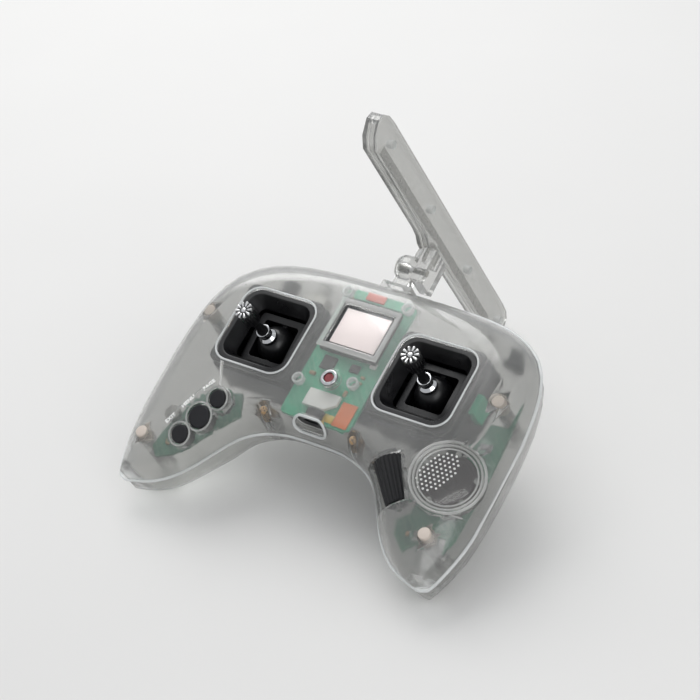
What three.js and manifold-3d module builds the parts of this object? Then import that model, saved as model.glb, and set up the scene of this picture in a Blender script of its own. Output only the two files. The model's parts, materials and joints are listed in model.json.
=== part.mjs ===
// Handheld radio transmitter with two sticks, a small display and a folding T antenna.
//
// Everything is modelled in the transmitter's own frame, in millimetres: +X is the user's right, +Y points
// away from the user and +Z comes out of the face. The origin lies midway between the sticks, level with the
// rims of the stick openings. The last section stands the finished object on its grips and antenna.
import * as THREE from 'three';
import { mergeVertices } from 'three/addons/utils/BufferGeometryUtils.js';
import Module from 'manifold-3d';

const wasm = await Module();
wasm.setup();

// ---- Clearances ---------------------------------------------------------------------------------------
const GAP = 0.3;            // between two pieces that sit against each other
const FREE = 0.5;           // around a piece that moves

// ---- Casing -------------------------------------------------------------------------------------------
const WALL = 2.0;
const CROWN = 18.5;         // height of the face above the seam, at the middle
const BELLY = 25.5;         // depth of the belly below the seam, at the middle
const SEAM_Z = -CROWN;      // level where the two halves of the casing meet; the face is at level 0
const POST_R = 3.5;         // screw posts

// Cross-sections of the casing, from the middle to the tip of one grip. Each row gives the point on the rear
// or outer edge, the one on the front or inner edge, how much lower the crown and how much shallower the
// belly is than at the middle, and how far in the rounding reaches along the rear or outer edge, along the
// front or inner edge of the upper half, and along that of the lower half.
const SECTIONS = [
  [[0, 46], [0, -39], 0, 0, 13, 9, 26],
  [[26, 46], [15, -39.5], 0, 0, 14, 9, 26],
  [[48, 45], [27, -42.5], 0, 0, 17, 10, 25],
  [[66, 41.5], [35.5, -47.3], 0, 0.5, 20, 11, 22],
  [[80.5, 32.5], [40.5, -52.5], 0, 1, 22, 12, 19],
  [[88.8, 17.5], [43.7, -57], 0.2, 1.5, 23, 13, 16],
  [[92.4, -3], [46.2, -60.5], 0.7, 2, 23, 14, 15],
  [[93.6, -25], [49, -64.8], 1.5, 2.5, 22, 15, 15],
  [[93.6, -45], [53, -70.2], 2.5, 3, 21, 15, 15],
  [[92.2, -62], [59.2, -76.8], 4.5, 4.5, 18, 13, 13],
  [[89, -75.5], [67.8, -82.4], 7.5, 8.5, 13, 9, 9],
  [[86, -83.8], [79.5, -86.2], 12.5, 15.5, 4, 3, 3],
].map(([rear, front, lower, shallower, rearEdge, frontEdge, bellyEdge]) => ({
  rear, front, top: CROWN - lower, deep: BELLY - shallower, rearEdge, frontEdge, bellyEdge,
}));
const CROWN_SLOPE = 1.5;    // how the crown slopes off towards the rear and outer edges; 1 is an ellipse
const BELLY_SLOPE = 1.2;    // the same for the belly towards the front edge
const STEPS_PER_SECTION = 2;
const EDGE_STEPS = 5;       // facets around each rounded edge
const FLAT_SHARE = 0.04;    // least share of a section that stays between its two roundings
const TIP_WALL = 0.25;      // how much sooner the inside ends at the tips, in stations per mm of wall

// ---- Sticks -------------------------------------------------------------------------------------------
const GIMBAL_X = 44;        // from the middle of the casing to each stick
const OPENING = 40;         // side of the square stick opening
const OPENING_R = 8;        // its corner radius
const PIVOT_Z = -14;        // level of both stick axes
const BEZEL_DEPTH = 8;
const BEZEL_FLANGE = 2.3;   // thickness of the flange under the shell
const BEZEL_LIP = 2.5;      // width of the bezel's rim inside the opening
const BEZEL_TOP_Z = -0.7;
const BEZEL_THROAT = OPENING - 13;  // side of the square hole at the bottom of the bezel
const FRAME_SIDE = OPENING + 4;     // outer side of the gimbal's frame
const FRAME_WALL = 3.5;
const FRAME_FLOOR = 2;
const FRAME_BOTTOM_Z = PIVOT_Z - 13;
const YOKE_HALF = 13;       // half side of the outer yoke
const YOKE_BAR = 3.4;
const YOKE_HALF_HEIGHT = 3.6;
const DOME_R = 9;
const DOME_BELOW = 5;       // how far the dome reaches below the pivot
const TRUNNION_R = 1.9;
const COLLAR_R = 4.4;
const COLLAR_HEIGHT = 6.8;
const SHAFT_R = 1.9;
const STICK_END_R = 4.3;
const STICK_END_LENGTH = 12;
const STICK_TOP_Z = 22;
const TEETH = 10;           // teeth of the crown on each stick
const TOOTH_GAP = 0.7;
const TOOTH_HEIGHT = 1.6;
const LEFT_STICK_LEAN = { towardsUser: 5.2, outwards: 1.9 };  // degrees; the left stick keeps its place
const SENSOR = [3, 10, 9.5];  // sensor on each gimbal's outer side

// ---- Display, boards and power ------------------------------------------------------------------------
const WINDOW = [27, 21.8];
const WINDOW_AT = [0.8, 14.2];
const WINDOW_THICK = 1.2;
const WINDOW_Z = -0.5;
const MODULE_RIM = [1.7, 2.7];  // how much wider the display module is than its window, each side
const MODULE_THICK = 2.2;
const BOARD_TOP_Z = -7;
const BOARD_THICK = 1.6;
const BOARD_TO_GIMBAL = 3;  // from the main board to each gimbal's frame
const BOARD_LENGTH = 68;
const BOARD_Y = 1;
const MODULE_HEIGHT = 2.5;  // radio module, above the main board
const COVER = [76, 42];     // battery cover
const COVER_R = 4;
const COVER_Y = 4;
const BATTERY = [62, 36, 10.5];
const LEFT_BOARD_Z = -12.6;
const RIGHT_BOARD_Z = -17.8;
const LEFT_BOARD = [[-39, -40], [-47, -49.5], [-54, -60], [-61.5, -69], [-69, -72.5], [-73.5, -68],
  [-71.5, -58], [-66, -45], [-60, -34], [-44, -30]];
const RIGHT_BOARD = [[84, 10], [86, -10], [86.5, -40], [86, -60], [83.6, -68], [82.2, -61], [73, -61.4],
  [66, -73], [58.5, -67], [56.5, -60.5], [61.5, -55], [62.5, -30], [72, -27], [74, -12], [74.5, -4],
  [83.5, -3.4]];
const KEYPAD = [[-9, -27.4], [3, -27.4], [8, -23.5], [8, -18.5], [-9, -18.5]];
const KEYPAD_THICK = 2.1;
const FLEX = { low: [9.5, -32], high: [17.5, -20], thick: 0.4 };
const MOTOR = { at: [-70.5, -51], r: 4, height: 2.9 };

// ---- Buttons: centre, radius and level of the top -----------------------------------------------------
const BUTTONS = {
  exit_button: { at: [-57, -61.8], r: 4.4, top: -1.6 },
  menu_button: { at: [-51, -51.5], r: 5.6, top: 0.6 },
  page_button: { at: [-46.5, -40.8], r: 4.3, top: 1.6 },
};
const BUTTON_COLLAR = 1.3;  // wall of the raised collar around each button
const BUTTON_DEEP = 6;
const BUTTON_DOME = 0.5;    // rounding of a cap's top
const BUTTON_TILT = 20;     // degrees that the keys face the user
const POWER = { at: [0, -13.4], r: 2.3, ring: 4.1, top: 1.0, deep: 3.6, collar: 0.9 };

// ---- Roller on the right grip -------------------------------------------------------------------------
const ROLLER_START = new THREE.Vector3(45.5, -39.3, -5);
const ROLLER_END = new THREE.Vector3(59.1, -56.7, -7);
const ROLLER_R = [7.5, 6.0];
const ROLLER_EDGE = 0.8;
const ROLLER_RIDGES = 20;
const ROLLER_RIDGE = 0.6;
const AXLE_R = 1.2;
const AXLE_BEYOND = [4, 3]; // how far the axle reaches past each end of the roller
// The encoder's top stays a wall's thickness short of underFace, both measured from the axle.
const ENCODER = { width: 2.4, depth: 8, below: 5, underFace: 4.2, away: 2.4 };

// ---- Speaker on the right grip ------------------------------------------------------------------------
const SPEAKER_AT = new THREE.Vector3(75.8, -39, -3.1);
const SPEAKER_LEAN = THREE.MathUtils.degToRad(14);
const GRILLE_R = 15.4;
const GRILLE_THICK = 1.8;
const GRILLE_PROUD = 0.1;
const GRILLE_SEAT = 1.6;    // ledge under the grille, and the collar around it
const DRIVER_R = GRILLE_R - 2.8;
const DRIVER_THICK = 4.5;
const DRIVER_BELOW = 2.2;   // from the grille down to the driver

// ---- Front socket -------------------------------------------------------------------------------------
const SOCKET = [16.5, 7.8]; // width and height of the opening in the front wall
const SOCKET_Z = -6.3;
const SOCKET_RIM = 1.5;
const CONNECTOR = { width: 9, height: 3.2, slot: [8, 2.2], back: -28.2, face: -34.3, flange: 1 };

// ---- Rear controls ------------------------------------------------------------------------------------
const REAR_Z = -30;         // level of the toggles and shoulder buttons
const TOGGLE_X = 46;
const TOGGLE_Y = 42.4;      // pivot of each lever
const TOGGLE_R = 3.2;       // the bush in the rear wall
const TOGGLE_BODY = [12, 8, 8];
const TOGGLE_BODY_IN = 5.6; // from the pivot in to the body's face
const TOGGLE_BUSH_OUT = 2.5;
const LEVER_LENGTH = 6;
const LEVER_ROOT_R = 1.1;
const LEVER_WELL_R = 2.2;
const SHOULDER_X = 64;
const SHOULDER_R = 4.2;
const SHOULDER_Y = 41.6;    // outer face of each shoulder button
const SHOULDER_REACH = 6.4;  // from that face to the casing's outside, at the button's lower edge
const SHOULDER_SLANT = 1.3;  // how much deeper than its thickness the slanting wall is along the button
const SHOULDER_IN_Y = SHOULDER_Y - SHOULDER_REACH - SHOULDER_SLANT * WALL;  // front of the flange
const SHOULDER_FLANGE = { wider: 1.2, thick: 1.2 };

// ---- Antenna ------------------------------------------------------------------------------------------
const HINGE = new THREE.Vector3(0, 58.5, -16);
const HINGE_PIN_R = 1.5;
const BOSS_R = 6.4;         // round boss of the bracket, around the hinge pin
const BOSS_ROUND = 2.4;     // rounding of its outer end
const ARM = { low: -5.4, high: 0.5, outer: -6.4 };  // the bracket's arm, in Z from the hinge and in X
const BRACKET = { half: 8, low: -28, high: -10, inner: 39, rear: 46.8, flange: 2, flangeThick: 2 };
const KNUCKLE = { near: 53.2, low: -28.5, high: -13.5, neck: 65.4, neckR: 5.4 };
const KNUCKLE_SPLIT_X = 1.7; // the knuckle's cheek lies to the right of this, the boss to the left
const STEM_Z = -21.5;       // level of the T's stem, about which it turns
const SOCKET_END_Y = 70.5;  // where the knuckle ends and the T begins
const SPIGOT_R = 3.0;
const SPIGOT_LENGTH = 5.0;
const SPIGOT_HEAD = { wider: 1.2, from: 0.2, to: 1.8 };
const BAR_Y = 73.6;         // near side of the bar
const BAR_WIDTH = 18;
const BAR_LENGTH = 188;
const BAR_THICK = 6.6;
const BAR_SKIN = 1.4;
const STEM_HALF = 5.6;      // half width of the stem where it leaves the knuckle
const PEGS_FROM_END = [21, 76, 132, 183];  // from the bar's upper end to each joining peg
const PEG_R = 1.5;
const PEG_ACROSS = 0.66;    // share of the bar's width from its near side to the pegs
const ELEMENT = { thick: 1, width: 4, inset: 3.6, short: 16 };
const ANTENNA_LEAN = THREE.MathUtils.degToRad(3.4);

// ---- Screws: where the six casing screws stand --------------------------------------------------------
const SCREWS = { front: [24.8, -36.3], shoulder: [79.5, 2], grip: [78, -66] };
const SCREW_HEAD_Z = SEAM_Z - 7.5;
const SCREW_TIP_Z = SEAM_Z + 10.5;
const SCREW_R = 1.4;
const SCREW_HEAD_R = 2.6;
const SCREW_HEAD = 2;
const POST_TOP_Z = -1;

// ==== Helpers ==========================================================================================

const SIDES = { left: -1, right: 1 };

// A closed geometry as a solid that can be cut and joined.
function solid(geometry) {
  const bare = geometry.index ? geometry.clone() : geometry;
  bare.deleteAttribute('normal');
  bare.deleteAttribute('uv');
  const merged = mergeVertices(bare, 1e-4);
  const index = merged.index.array;
  const kept = [];
  for (let i = 0; i < index.length; i += 3) {
    const [a, b, c] = [index[i], index[i + 1], index[i + 2]];
    if (a !== b && b !== c && c !== a) kept.push(a, b, c);
  }
  return new wasm.Manifold(new wasm.Mesh({
    numProp: 3,
    vertProperties: new Float32Array(merged.attributes.position.array),
    triVerts: new Uint32Array(kept),
  }));
}

function join(first, ...rest) {
  return rest.reduce((sum, piece) => sum.add(piece), first);
}

function cut(first, ...rest) {
  return rest.reduce((sum, piece) => sum.subtract(piece), first);
}

function toGeometry(body) {
  const mesh = body.getMesh();
  const geometry = new THREE.BufferGeometry();
  geometry.setAttribute('position', new THREE.BufferAttribute(new Float32Array(mesh.vertProperties), 3));
  geometry.setIndex(new THREE.BufferAttribute(new Uint32Array(mesh.triVerts), 1));
  return geometry;
}

// A box between two corners.
function block(low, high) {
  const size = high.map((value, axis) => value - low[axis]);
  const geometry = new THREE.BoxGeometry(...size);
  geometry.translate(...size.map((value, axis) => low[axis] + value / 2));
  return solid(geometry);
}

// A round bar from one point to another, with a different radius at each end if two are given.
function rod(from, to, radius, facets = 16, endRadius = radius) {
  const start = new THREE.Vector3(...from);
  const span = new THREE.Vector3(...to).sub(start);
  const geometry = new THREE.CylinderGeometry(endRadius, radius, span.length(), facets);
  geometry.translate(0, span.length() / 2, 0);
  geometry.applyQuaternion(new THREE.Quaternion().setFromUnitVectors(
    new THREE.Vector3(0, 1, 0), span.clone().normalize()));
  geometry.translate(start.x, start.y, start.z);
  return solid(geometry);
}

// A turned piece: profile points are [radius, height], turned about the Z axis through (x, y).
function turned(profile, x, y, facets = 20) {
  const points = profile.map(([radius, height]) => new THREE.Vector2(radius, height));
  const geometry = new THREE.LatheGeometry(points, facets);
  geometry.rotateX(Math.PI / 2);
  geometry.translate(x, y, 0);
  return solid(geometry);
}

// The corner points of a rectangle with round corners, anticlockwise.
function roundedOutline(width, depth, radius, facets = 4) {
  const points = [];
  const corners = [[1, 1], [-1, 1], [-1, -1], [1, -1]];
  corners.forEach(([sx, sy], quarter) => {
    for (let i = 0; i <= facets; i += 1) {
      const angle = (quarter + i / facets) * Math.PI / 2;
      points.push([
        sx * (width / 2 - radius) + radius * Math.cos(angle),
        sy * (depth / 2 - radius) + radius * Math.sin(angle),
      ]);
    }
  });
  return points;
}

// A flat plate of any outline between two levels.
function plate(outline, low, high) {
  const shape = new THREE.Shape(outline.map(([x, y]) => new THREE.Vector2(x, y)));
  const geometry = new THREE.ExtrudeGeometry(shape, { depth: high - low, bevelEnabled: false });
  geometry.translate(0, 0, low);
  return solid(geometry);
}

function roundedPlate(width, depth, radius, low, high, x = 0, y = 0) {
  return plate(roundedOutline(width, depth, radius), low, high).translate([x, y, 0]);
}

// A solid skin over a list of rings with equal point counts, closed by a fan at each end.
function skin(rings) {
  const count = rings[0].length;
  const positions = rings.flat().flatMap((point) => [point.x, point.y, point.z]);
  const index = [];
  for (let r = 0; r < rings.length - 1; r += 1) {
    for (let i = 0; i < count; i += 1) {
      const next = (i + 1) % count;
      const [a, b] = [r * count + i, r * count + next];
      const [c, d] = [a + count, b + count];
      index.push(a, b, d, a, d, c);
    }
  }
  [[0, 1], [rings.length - 1, -1]].forEach(([r, turn]) => {
    const centre = new THREE.Vector3();
    rings[r].forEach((point) => centre.addScaledVector(point, 1 / count));
    positions.push(centre.x, centre.y, centre.z);
    const hub = positions.length / 3 - 1;
    for (let i = 0; i < count; i += 1) {
      const edge = [r * count + i, r * count + (i + 1) % count];
      if (turn > 0) edge.reverse();
      index.push(hub, ...edge);
    }
  });
  const geometry = new THREE.BufferGeometry();
  geometry.setAttribute('position', new THREE.Float32BufferAttribute(positions, 3));
  geometry.setIndex(facingOut(positions, index));
  return solid(geometry);
}

// The triangles of a closed surface, turned round if they enclose a negative volume.
function facingOut(positions, index) {
  const at = (i) => new THREE.Vector3().fromArray(positions, 3 * i);
  let volume = 0;
  for (let i = 0; i < index.length; i += 3) {
    volume += at(index[i]).dot(at(index[i + 1]).cross(at(index[i + 2])));
  }
  return volume < 0 ? index.slice().reverse() : index;
}

// A straight-sided well whose outline changes from one rounded rectangle to another.
function taper(lowSize, lowRadius, lowZ, highSize, highRadius, highZ, x, y) {
  const ring = (size, radius, z) => roundedOutline(size, size, radius)
    .map(([px, py]) => new THREE.Vector3(px + x, py + y, z));
  return skin([ring(lowSize, lowRadius, lowZ), ring(highSize, highRadius, highZ)]);
}

// ==== Casing ===========================================================================================

// One value of the section table at a fractional station, along a smooth curve through the stations.
function along(read, station) {
  const last = SECTIONS.length - 1;
  const i = Math.min(Math.floor(station), last - 1);
  const t = station - i;
  const at = (k) => {
    if (k < 0) return read(SECTIONS[-k], true);
    return read(SECTIONS[Math.min(k, last)], false);
  };
  const [p0, p1, p2, p3] = [at(i - 1), at(i), at(i + 1), at(i + 2)];
  return 0.5 * (2 * p1 + (p2 - p0) * t + (2 * p0 - 5 * p1 + 4 * p2 - p3) * t * t
    + (3 * p1 - p0 - 3 * p2 + p3) * t * t * t);
}

// The closed cross-section of the casing at a station, drawn in from the outside by inset.
function sectionRing(station, mirror, inset) {
  const value = (name) => along((s) => s[name], station);
  const point = (name) => new THREE.Vector2(
    along((s, mirrored) => (mirrored ? -s[name][0] : s[name][0]), station),
    along((s) => s[name][1], station));
  const rear = point('rear');
  const front = point('front');
  const inward = front.clone().sub(rear);
  const length = inward.length() - 2 * inset;
  inward.normalize();
  rear.addScaledVector(inward, inset);
  const ring = [];
  const place = (distance, height) => {
    const x = rear.x + inward.x * distance;
    const y = rear.y + inward.y * distance;
    ring.push(new THREE.Vector3(mirror * x, y, SEAM_Z + height));
  };
  // One half of the section, from the edge it starts at to the other, above or below the seam.
  const half = (height, sign, near, far) => {
    const squeeze = Math.min(1, (1 - FLAT_SHARE) * length / (near.reach + far.reach - 2 * inset));
    const rise = (edge, angle) => sign * height * Math.sin(angle) ** edge.slope;
    const run = (edge, angle) => (edge.reach - inset) * squeeze * (1 - Math.cos(angle));
    const from = (distance) => (sign > 0 ? distance : length - distance);
    for (let i = 0; i <= EDGE_STEPS; i += 1) {
      const angle = (i / EDGE_STEPS) * Math.PI / 2;
      place(from(run(near, angle)), rise(near, angle));
    }
    for (let i = EDGE_STEPS; i > 0; i -= 1) {
      const angle = (i / EDGE_STEPS) * Math.PI / 2;
      place(from(length - run(far, angle)), rise(far, angle));
    }
  };
  const edge = (name, slope) => ({ reach: value(name), slope });
  half(value('top') - inset, 1, edge('rearEdge', CROWN_SLOPE), edge('frontEdge', 1));
  half(value('deep') - inset, -1, edge('bellyEdge', BELLY_SLOPE), edge('rearEdge', 1));
  return ring;
}

// The whole casing as one solid, drawn in from its true outside by inset.
function casing(inset) {
  const last = SECTIONS.length - 1 - inset * TIP_WALL;
  const steps = (SECTIONS.length - 1) * STEPS_PER_SECTION;
  const rings = [];
  for (let i = -steps; i <= steps; i += 1) {
    const station = Math.abs(i) / steps * last;
    rings.push(sectionRing(station, i < 0 ? -1 : 1, inset));
  }
  return skin(rings);
}

const BIG = 400;
const casingOutside = casing(0);
const casingInside = casing(WALL);
const casingWall = cut(casingOutside, casingInside);
const aboveSeam = block([-BIG, -BIG, SEAM_Z + GAP / 2], [BIG, BIG, BIG]);
const belowSeam = block([-BIG, -BIG, -BIG], [BIG, BIG, SEAM_Z - GAP / 2]);

// A piece turned and moved with the leaning speaker.
function leaning(body) {
  const degrees = THREE.MathUtils.radToDeg(SPEAKER_LEAN);
  return body.rotate([0, degrees, 0]).translate(SPEAKER_AT.toArray());
}

// A key, its collar or its bore, tilted towards the user about the middle of the key's top.
function facingUser(body, [x, y], top) {
  return body.translate([-x, -y, -top]).rotate([BUTTON_TILT, 0, 0]).translate([x, y, top]);
}

// The room that the roller needs in the casing, open towards the inner edge of the grip.
function rollerRoom() {
  const axis = ROLLER_END.clone().sub(ROLLER_START).normalize();
  const side = new THREE.Vector3(axis.y, -axis.x, 0);
  const start = ROLLER_START.clone().addScaledVector(axis, -FREE - GAP);
  const end = ROLLER_END.clone().addScaledVector(axis, FREE + GAP);
  const radii = ROLLER_R.map((radius) => radius + FREE + GAP);
  const drum = rod(start.toArray(), end.toArray(), radii[0], 28, radii[1]);
  const corner = (point, radius, out, up) => point.clone()
    .addScaledVector(side, out * radius).add(new THREE.Vector3(0, 0, up * radius));
  const mouth = (point, radius) => [
    corner(point, radius, 0, 0), corner(point, radius, 2.6, 1), corner(point, radius, 2.6, -0.5),
    corner(point, radius, 0.8, -0.5),
  ];
  return join(drum, skin([mouth(start, radii[0]), mouth(end, radii[1])]));
}

function screwPosts(low, high) {
  const posts = [];
  for (const sx of Object.values(SIDES)) {
    for (const [x, y] of Object.values(SCREWS)) {
      posts.push(rod([sx * x, y, low], [sx * x, y, high], POST_R, 14));
    }
  }
  return join(...posts);
}

function screwHoles(radius, low, high) {
  const holes = [];
  for (const sx of Object.values(SIDES)) {
    for (const [x, y] of Object.values(SCREWS)) {
      holes.push(rod([sx * x, y, low], [sx * x, y, high], radius, 10));
    }
  }
  return join(...holes);
}

// The opening in the rear wall for the antenna's bracket.
function bracketRoom() {
  const { half, low, high, inner } = BRACKET;
  return block([-half - GAP, inner - 4, low - GAP], [half + GAP, BIG, high + GAP]);
}

function socketRoom() {
  const [width, height] = SOCKET;
  const outline = roundedOutline(width, height, roundEnd(height), 5);
  return plate(outline, 0, 20).rotate([90, 0, 0]).translate([0, SECTIONS[0].front[1] + 9, SOCKET_Z]);
}

// The corner radius that makes the ends of an upright oval of this height round.
function roundEnd(height) {
  return height / 2 - 0.05;
}

function topShell() {
  const collars = [];
  const bores = [];
  const overFace = 3;
  for (const { at, r, top } of Object.values(BUTTONS)) {
    const collar = rod([...at, top - BUTTON_DEEP], [...at, top], r + FREE + BUTTON_COLLAR, 24);
    const bore = rod([...at, top - 2 * BUTTON_DEEP], [...at, top + 2 * BUTTON_DEEP], r + FREE, 24);
    collars.push(facingUser(collar, at, top));
    bores.push(facingUser(bore, at, top));
  }
  const seatR = GRILLE_R + GAP;
  const underSeat = -GRILLE_THICK - GAP;
  collars.push(leaning(rod([0, 0, underSeat - 1.3], [0, 0, GRILLE_PROUD + 0.5], seatR + GRILLE_SEAT, 40)));
  bores.push(leaning(rod([0, 0, underSeat], [0, 0, overFace], seatR, 40)));
  bores.push(leaning(rod([0, 0, underSeat - 10], [0, 0, overFace], GRILLE_R - GRILLE_SEAT, 32)));
  const ringR = POWER.ring + GAP;
  collars.push(rod([...POWER.at, -WALL - 1], [...POWER.at, POWER.top - 0.6], ringR + POWER.collar, 20));
  bores.push(rod([...POWER.at, -WALL - 3], [...POWER.at, overFace], ringR, 20));
  for (const sx of Object.values(SIDES)) {
    bores.push(roundedPlate(OPENING, OPENING, OPENING_R, -BEZEL_DEPTH, overFace, sx * GIMBAL_X, 0));
  }
  bores.push(roundedPlate(...WINDOW, 1.5, -WALL - 1, overFace, ...WINDOW_AT));
  const posts = screwPosts(SEAM_Z + GAP / 2, POST_TOP_Z).intersect(casingOutside);
  const shell = join(casingWall.intersect(aboveSeam), posts, ...collars, socketRim());
  const screws = screwHoles(SCREW_R + GAP, SEAM_Z - 1, SCREW_TIP_Z + 1);
  return cut(shell, ...bores, bracketRoom(), rollerRoom(), screws, socketRoom());
}

// A thicker oval rim around the socket, inside the front wall.
function socketRim() {
  const [width, height] = SOCKET.map((size) => size + 2 * SOCKET_RIM);
  const outline = roundedOutline(width, height, roundEnd(height), 5);
  const inFront = SECTIONS[0].front[1] + 4.5;
  return plate(outline, 0, 3).rotate([90, 0, 0]).translate([0, inFront, SOCKET_Z]).intersect(casingOutside);
}

function bottomShell() {
  const posts = screwPosts(SEAM_Z - BELLY, SEAM_Z - GAP / 2).intersect(casingOutside);
  const base = SEAM_Z - BELLY;
  const [width, length] = COVER.map((size) => size + 2 * GAP);
  const cover = roundedPlate(width, length, COVER_R, base - 5, base + 5, 0, COVER_Y);
  const holes = [];
  for (const sx of Object.values(SIDES)) {
    const [toggle, shoulder] = [sx * TOGGLE_X, sx * SHOULDER_X];
    holes.push(rod([toggle, SHOULDER_IN_Y, REAR_Z], [toggle, BIG, REAR_Z], TOGGLE_R + GAP, 16));
    holes.push(rod([shoulder, SHOULDER_IN_Y, REAR_Z], [shoulder, BIG, REAR_Z], SHOULDER_R + FREE, 16));
  }
  const screws = screwHoles(SCREW_R + GAP, -BIG, 0);
  const heads = screwHoles(SCREW_HEAD_R + GAP, -BIG, SCREW_HEAD_Z);
  return cut(join(casingWall.intersect(belowSeam), posts), cover, bracketRoom(), screws, heads, ...holes);
}

function batteryCover() {
  const base = SEAM_Z - BELLY;
  return roundedPlate(...COVER, COVER_R - GAP, base, base + WALL, 0, COVER_Y);
}

// ==== Sticks ===========================================================================================

function bezel(x) {
  const under = -WALL - GAP;
  const side = FRAME_SIDE - 0.4;
  const flange = roundedPlate(side, side, 4, under - BEZEL_FLANGE, under, x, 0);
  const outer = OPENING - 2 * GAP;
  const lip = roundedPlate(outer, outer, OPENING_R - GAP, -BEZEL_DEPTH, BEZEL_TOP_Z, x, 0);
  const mouth = OPENING - 2 * BEZEL_LIP;
  const past = 0.01;
  const well = taper(BEZEL_THROAT, 3, -BEZEL_DEPTH - past, mouth, 6.5, BEZEL_TOP_Z + past, x, 0);
  return cut(join(flange, lip), well);
}

function gimbalFrame(x) {
  const top = -BEZEL_DEPTH - GAP;
  const inner = FRAME_SIDE - 2 * FRAME_WALL;
  const room = roundedPlate(inner, inner, 3, FRAME_BOTTOM_Z + FRAME_FLOOR, 0, x, 0);
  const reach = FRAME_SIDE / 2 + 1;
  const bore = rod([x - reach, 0, PIVOT_Z], [x + reach, 0, PIVOT_Z], TRUNNION_R + GAP, 16);
  return cut(roundedPlate(FRAME_SIDE, FRAME_SIDE, 3, FRAME_BOTTOM_Z, top, x, 0), room, bore);
}

function outerYoke(x) {
  const low = PIVOT_Z - YOKE_HALF_HEIGHT;
  const high = PIVOT_Z + YOKE_HALF_HEIGHT;
  const inner = YOKE_HALF - YOKE_BAR;
  const ring = cut(
    roundedPlate(2 * YOKE_HALF, 2 * YOKE_HALF, 2.5, low, high, x, 0),
    roundedPlate(2 * inner, 2 * inner, 1.5, low - 1, high + 1, x, 0));
  const tip = FRAME_SIDE / 2 - 0.6;
  const root = YOKE_HALF - YOKE_BAR / 2;
  const pin = (s) => rod([x + s * root, 0, PIVOT_Z], [x + s * tip, 0, PIVOT_Z], TRUNNION_R, 14);
  const bore = rod([x, -YOKE_HALF - 1, PIVOT_Z], [x, YOKE_HALF + 1, PIVOT_Z], TRUNNION_R + GAP, 16);
  return cut(join(ring, pin(-1), pin(1)), bore);
}

function stickCarrier(x) {
  const ball = new THREE.SphereGeometry(DOME_R, 20, 10);
  ball.translate(x, 0, PIVOT_Z);
  const keep = block(
    [x - DOME_R - 1, -DOME_R - 1, PIVOT_Z - DOME_BELOW],
    [x + DOME_R + 1, DOME_R + 1, collarFoot() - GAP]);
  const tip = YOKE_HALF - 0.4;
  const pin = rod([x, -tip, PIVOT_Z], [x, tip, PIVOT_Z], TRUNNION_R, 14);
  return join(solid(ball).intersect(keep), pin);
}

// The level at which the collar stands on the dome's flat top.
function collarFoot() {
  return PIVOT_Z + DOME_R - 1 + GAP;
}

// The bright collar that clamps the stick in its carrier.
function stickCollar(x) {
  const foot = collarFoot();
  return turned([
    [0, foot], [COLLAR_R, foot], [COLLAR_R, foot + 1.4], [COLLAR_R - 1.5, foot + 2.6],
    [COLLAR_R - 1.7, foot + 4.6], [COLLAR_R - 1, foot + 5.6], [COLLAR_R - 1, foot + COLLAR_HEIGHT],
    [0, foot + COLLAR_HEIGHT],
  ], x, 0, 24);
}

function stickShaft(x) {
  const low = collarFoot() + COLLAR_HEIGHT + GAP;
  const high = STICK_TOP_Z - STICK_END_LENGTH - GAP;
  return turned([[0, low], [SHAFT_R + 0.9, low], [SHAFT_R, low + 2.5], [SHAFT_R, high], [0, high]], x, 0, 16);
}

// The stick's end: a knurled barrel with a crown of ten teeth.
function stickEnd(x) {
  const low = STICK_TOP_Z - STICK_END_LENGTH;
  const barrel = turned([
    [0, low], [STICK_END_R - 1.2, low], [STICK_END_R, low + 1.5],
    [STICK_END_R, STICK_TOP_Z], [0, STICK_TOP_Z],
  ], x, 0, 30);
  const [reach, half] = [STICK_END_R + 1, TOOTH_GAP / 2];
  const slots = [];
  for (let i = 0; i < TEETH / 2; i += 1) {
    const slot = block([-reach, -half, STICK_TOP_Z - TOOTH_HEIGHT], [reach, half, STICK_TOP_Z + 1]);
    slots.push(slot.rotate([0, 0, 360 * (i + 0.5) / TEETH]).translate([x, 0, 0]));
  }
  const dish = turned([[0, STICK_TOP_Z - 1.2], [1.6, STICK_TOP_Z - 1.2], [2.4, STICK_TOP_Z + 1],
    [0, STICK_TOP_Z + 1]], x, 0, 20);
  return cut(barrel, ...slots, dish);
}

// A piece of a stick turned about the stick's pivot by each set of angles in turn.
function aboutPivot(body, x, turns) {
  const atOrigin = body.translate([-x, 0, -PIVOT_Z]);
  return turns.reduce((piece, angles) => piece.rotate(angles), atOrigin).translate([x, 0, PIVOT_Z]);
}

// The sensor that reads the outer yoke's axle, on the outer side of the frame.
function hallSensor(x, sx) {
  const [thick, depth, height] = SENSOR;
  const near = FRAME_SIDE / 2 + GAP;
  const [a, b] = [x + sx * near, x + sx * (near + thick)];
  return block(
    [Math.min(a, b), -depth / 2, PIVOT_Z - height / 2], [Math.max(a, b), depth / 2, PIVOT_Z + height / 2]);
}

// ==== Display, boards and power ========================================================================

function displayWindow() {
  const [width, height] = WINDOW.map((size) => size - 2 * GAP);
  return roundedPlate(width, height, 1.2, WINDOW_Z - WINDOW_THICK, WINDOW_Z, ...WINDOW_AT);
}

function displayModule() {
  const [x, y] = WINDOW_AT;
  const [halfX, halfY] = WINDOW.map((size, axis) => size / 2 + MODULE_RIM[axis]);
  const top = -WALL - 2 * GAP;
  return block([x - halfX, y - halfY, top - MODULE_THICK], [x + halfX, y + halfY, top]);
}

function mainBoard() {
  const width = 2 * (GIMBAL_X - FRAME_SIDE / 2 - BOARD_TO_GIMBAL);
  return roundedPlate(width, BOARD_LENGTH, 2, BOARD_TOP_Z - BOARD_THICK, BOARD_TOP_Z, 0, BOARD_Y);
}

function keypad() {
  return plate(KEYPAD, BOARD_TOP_Z + GAP, BOARD_TOP_Z + GAP + KEYPAD_THICK);
}

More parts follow.
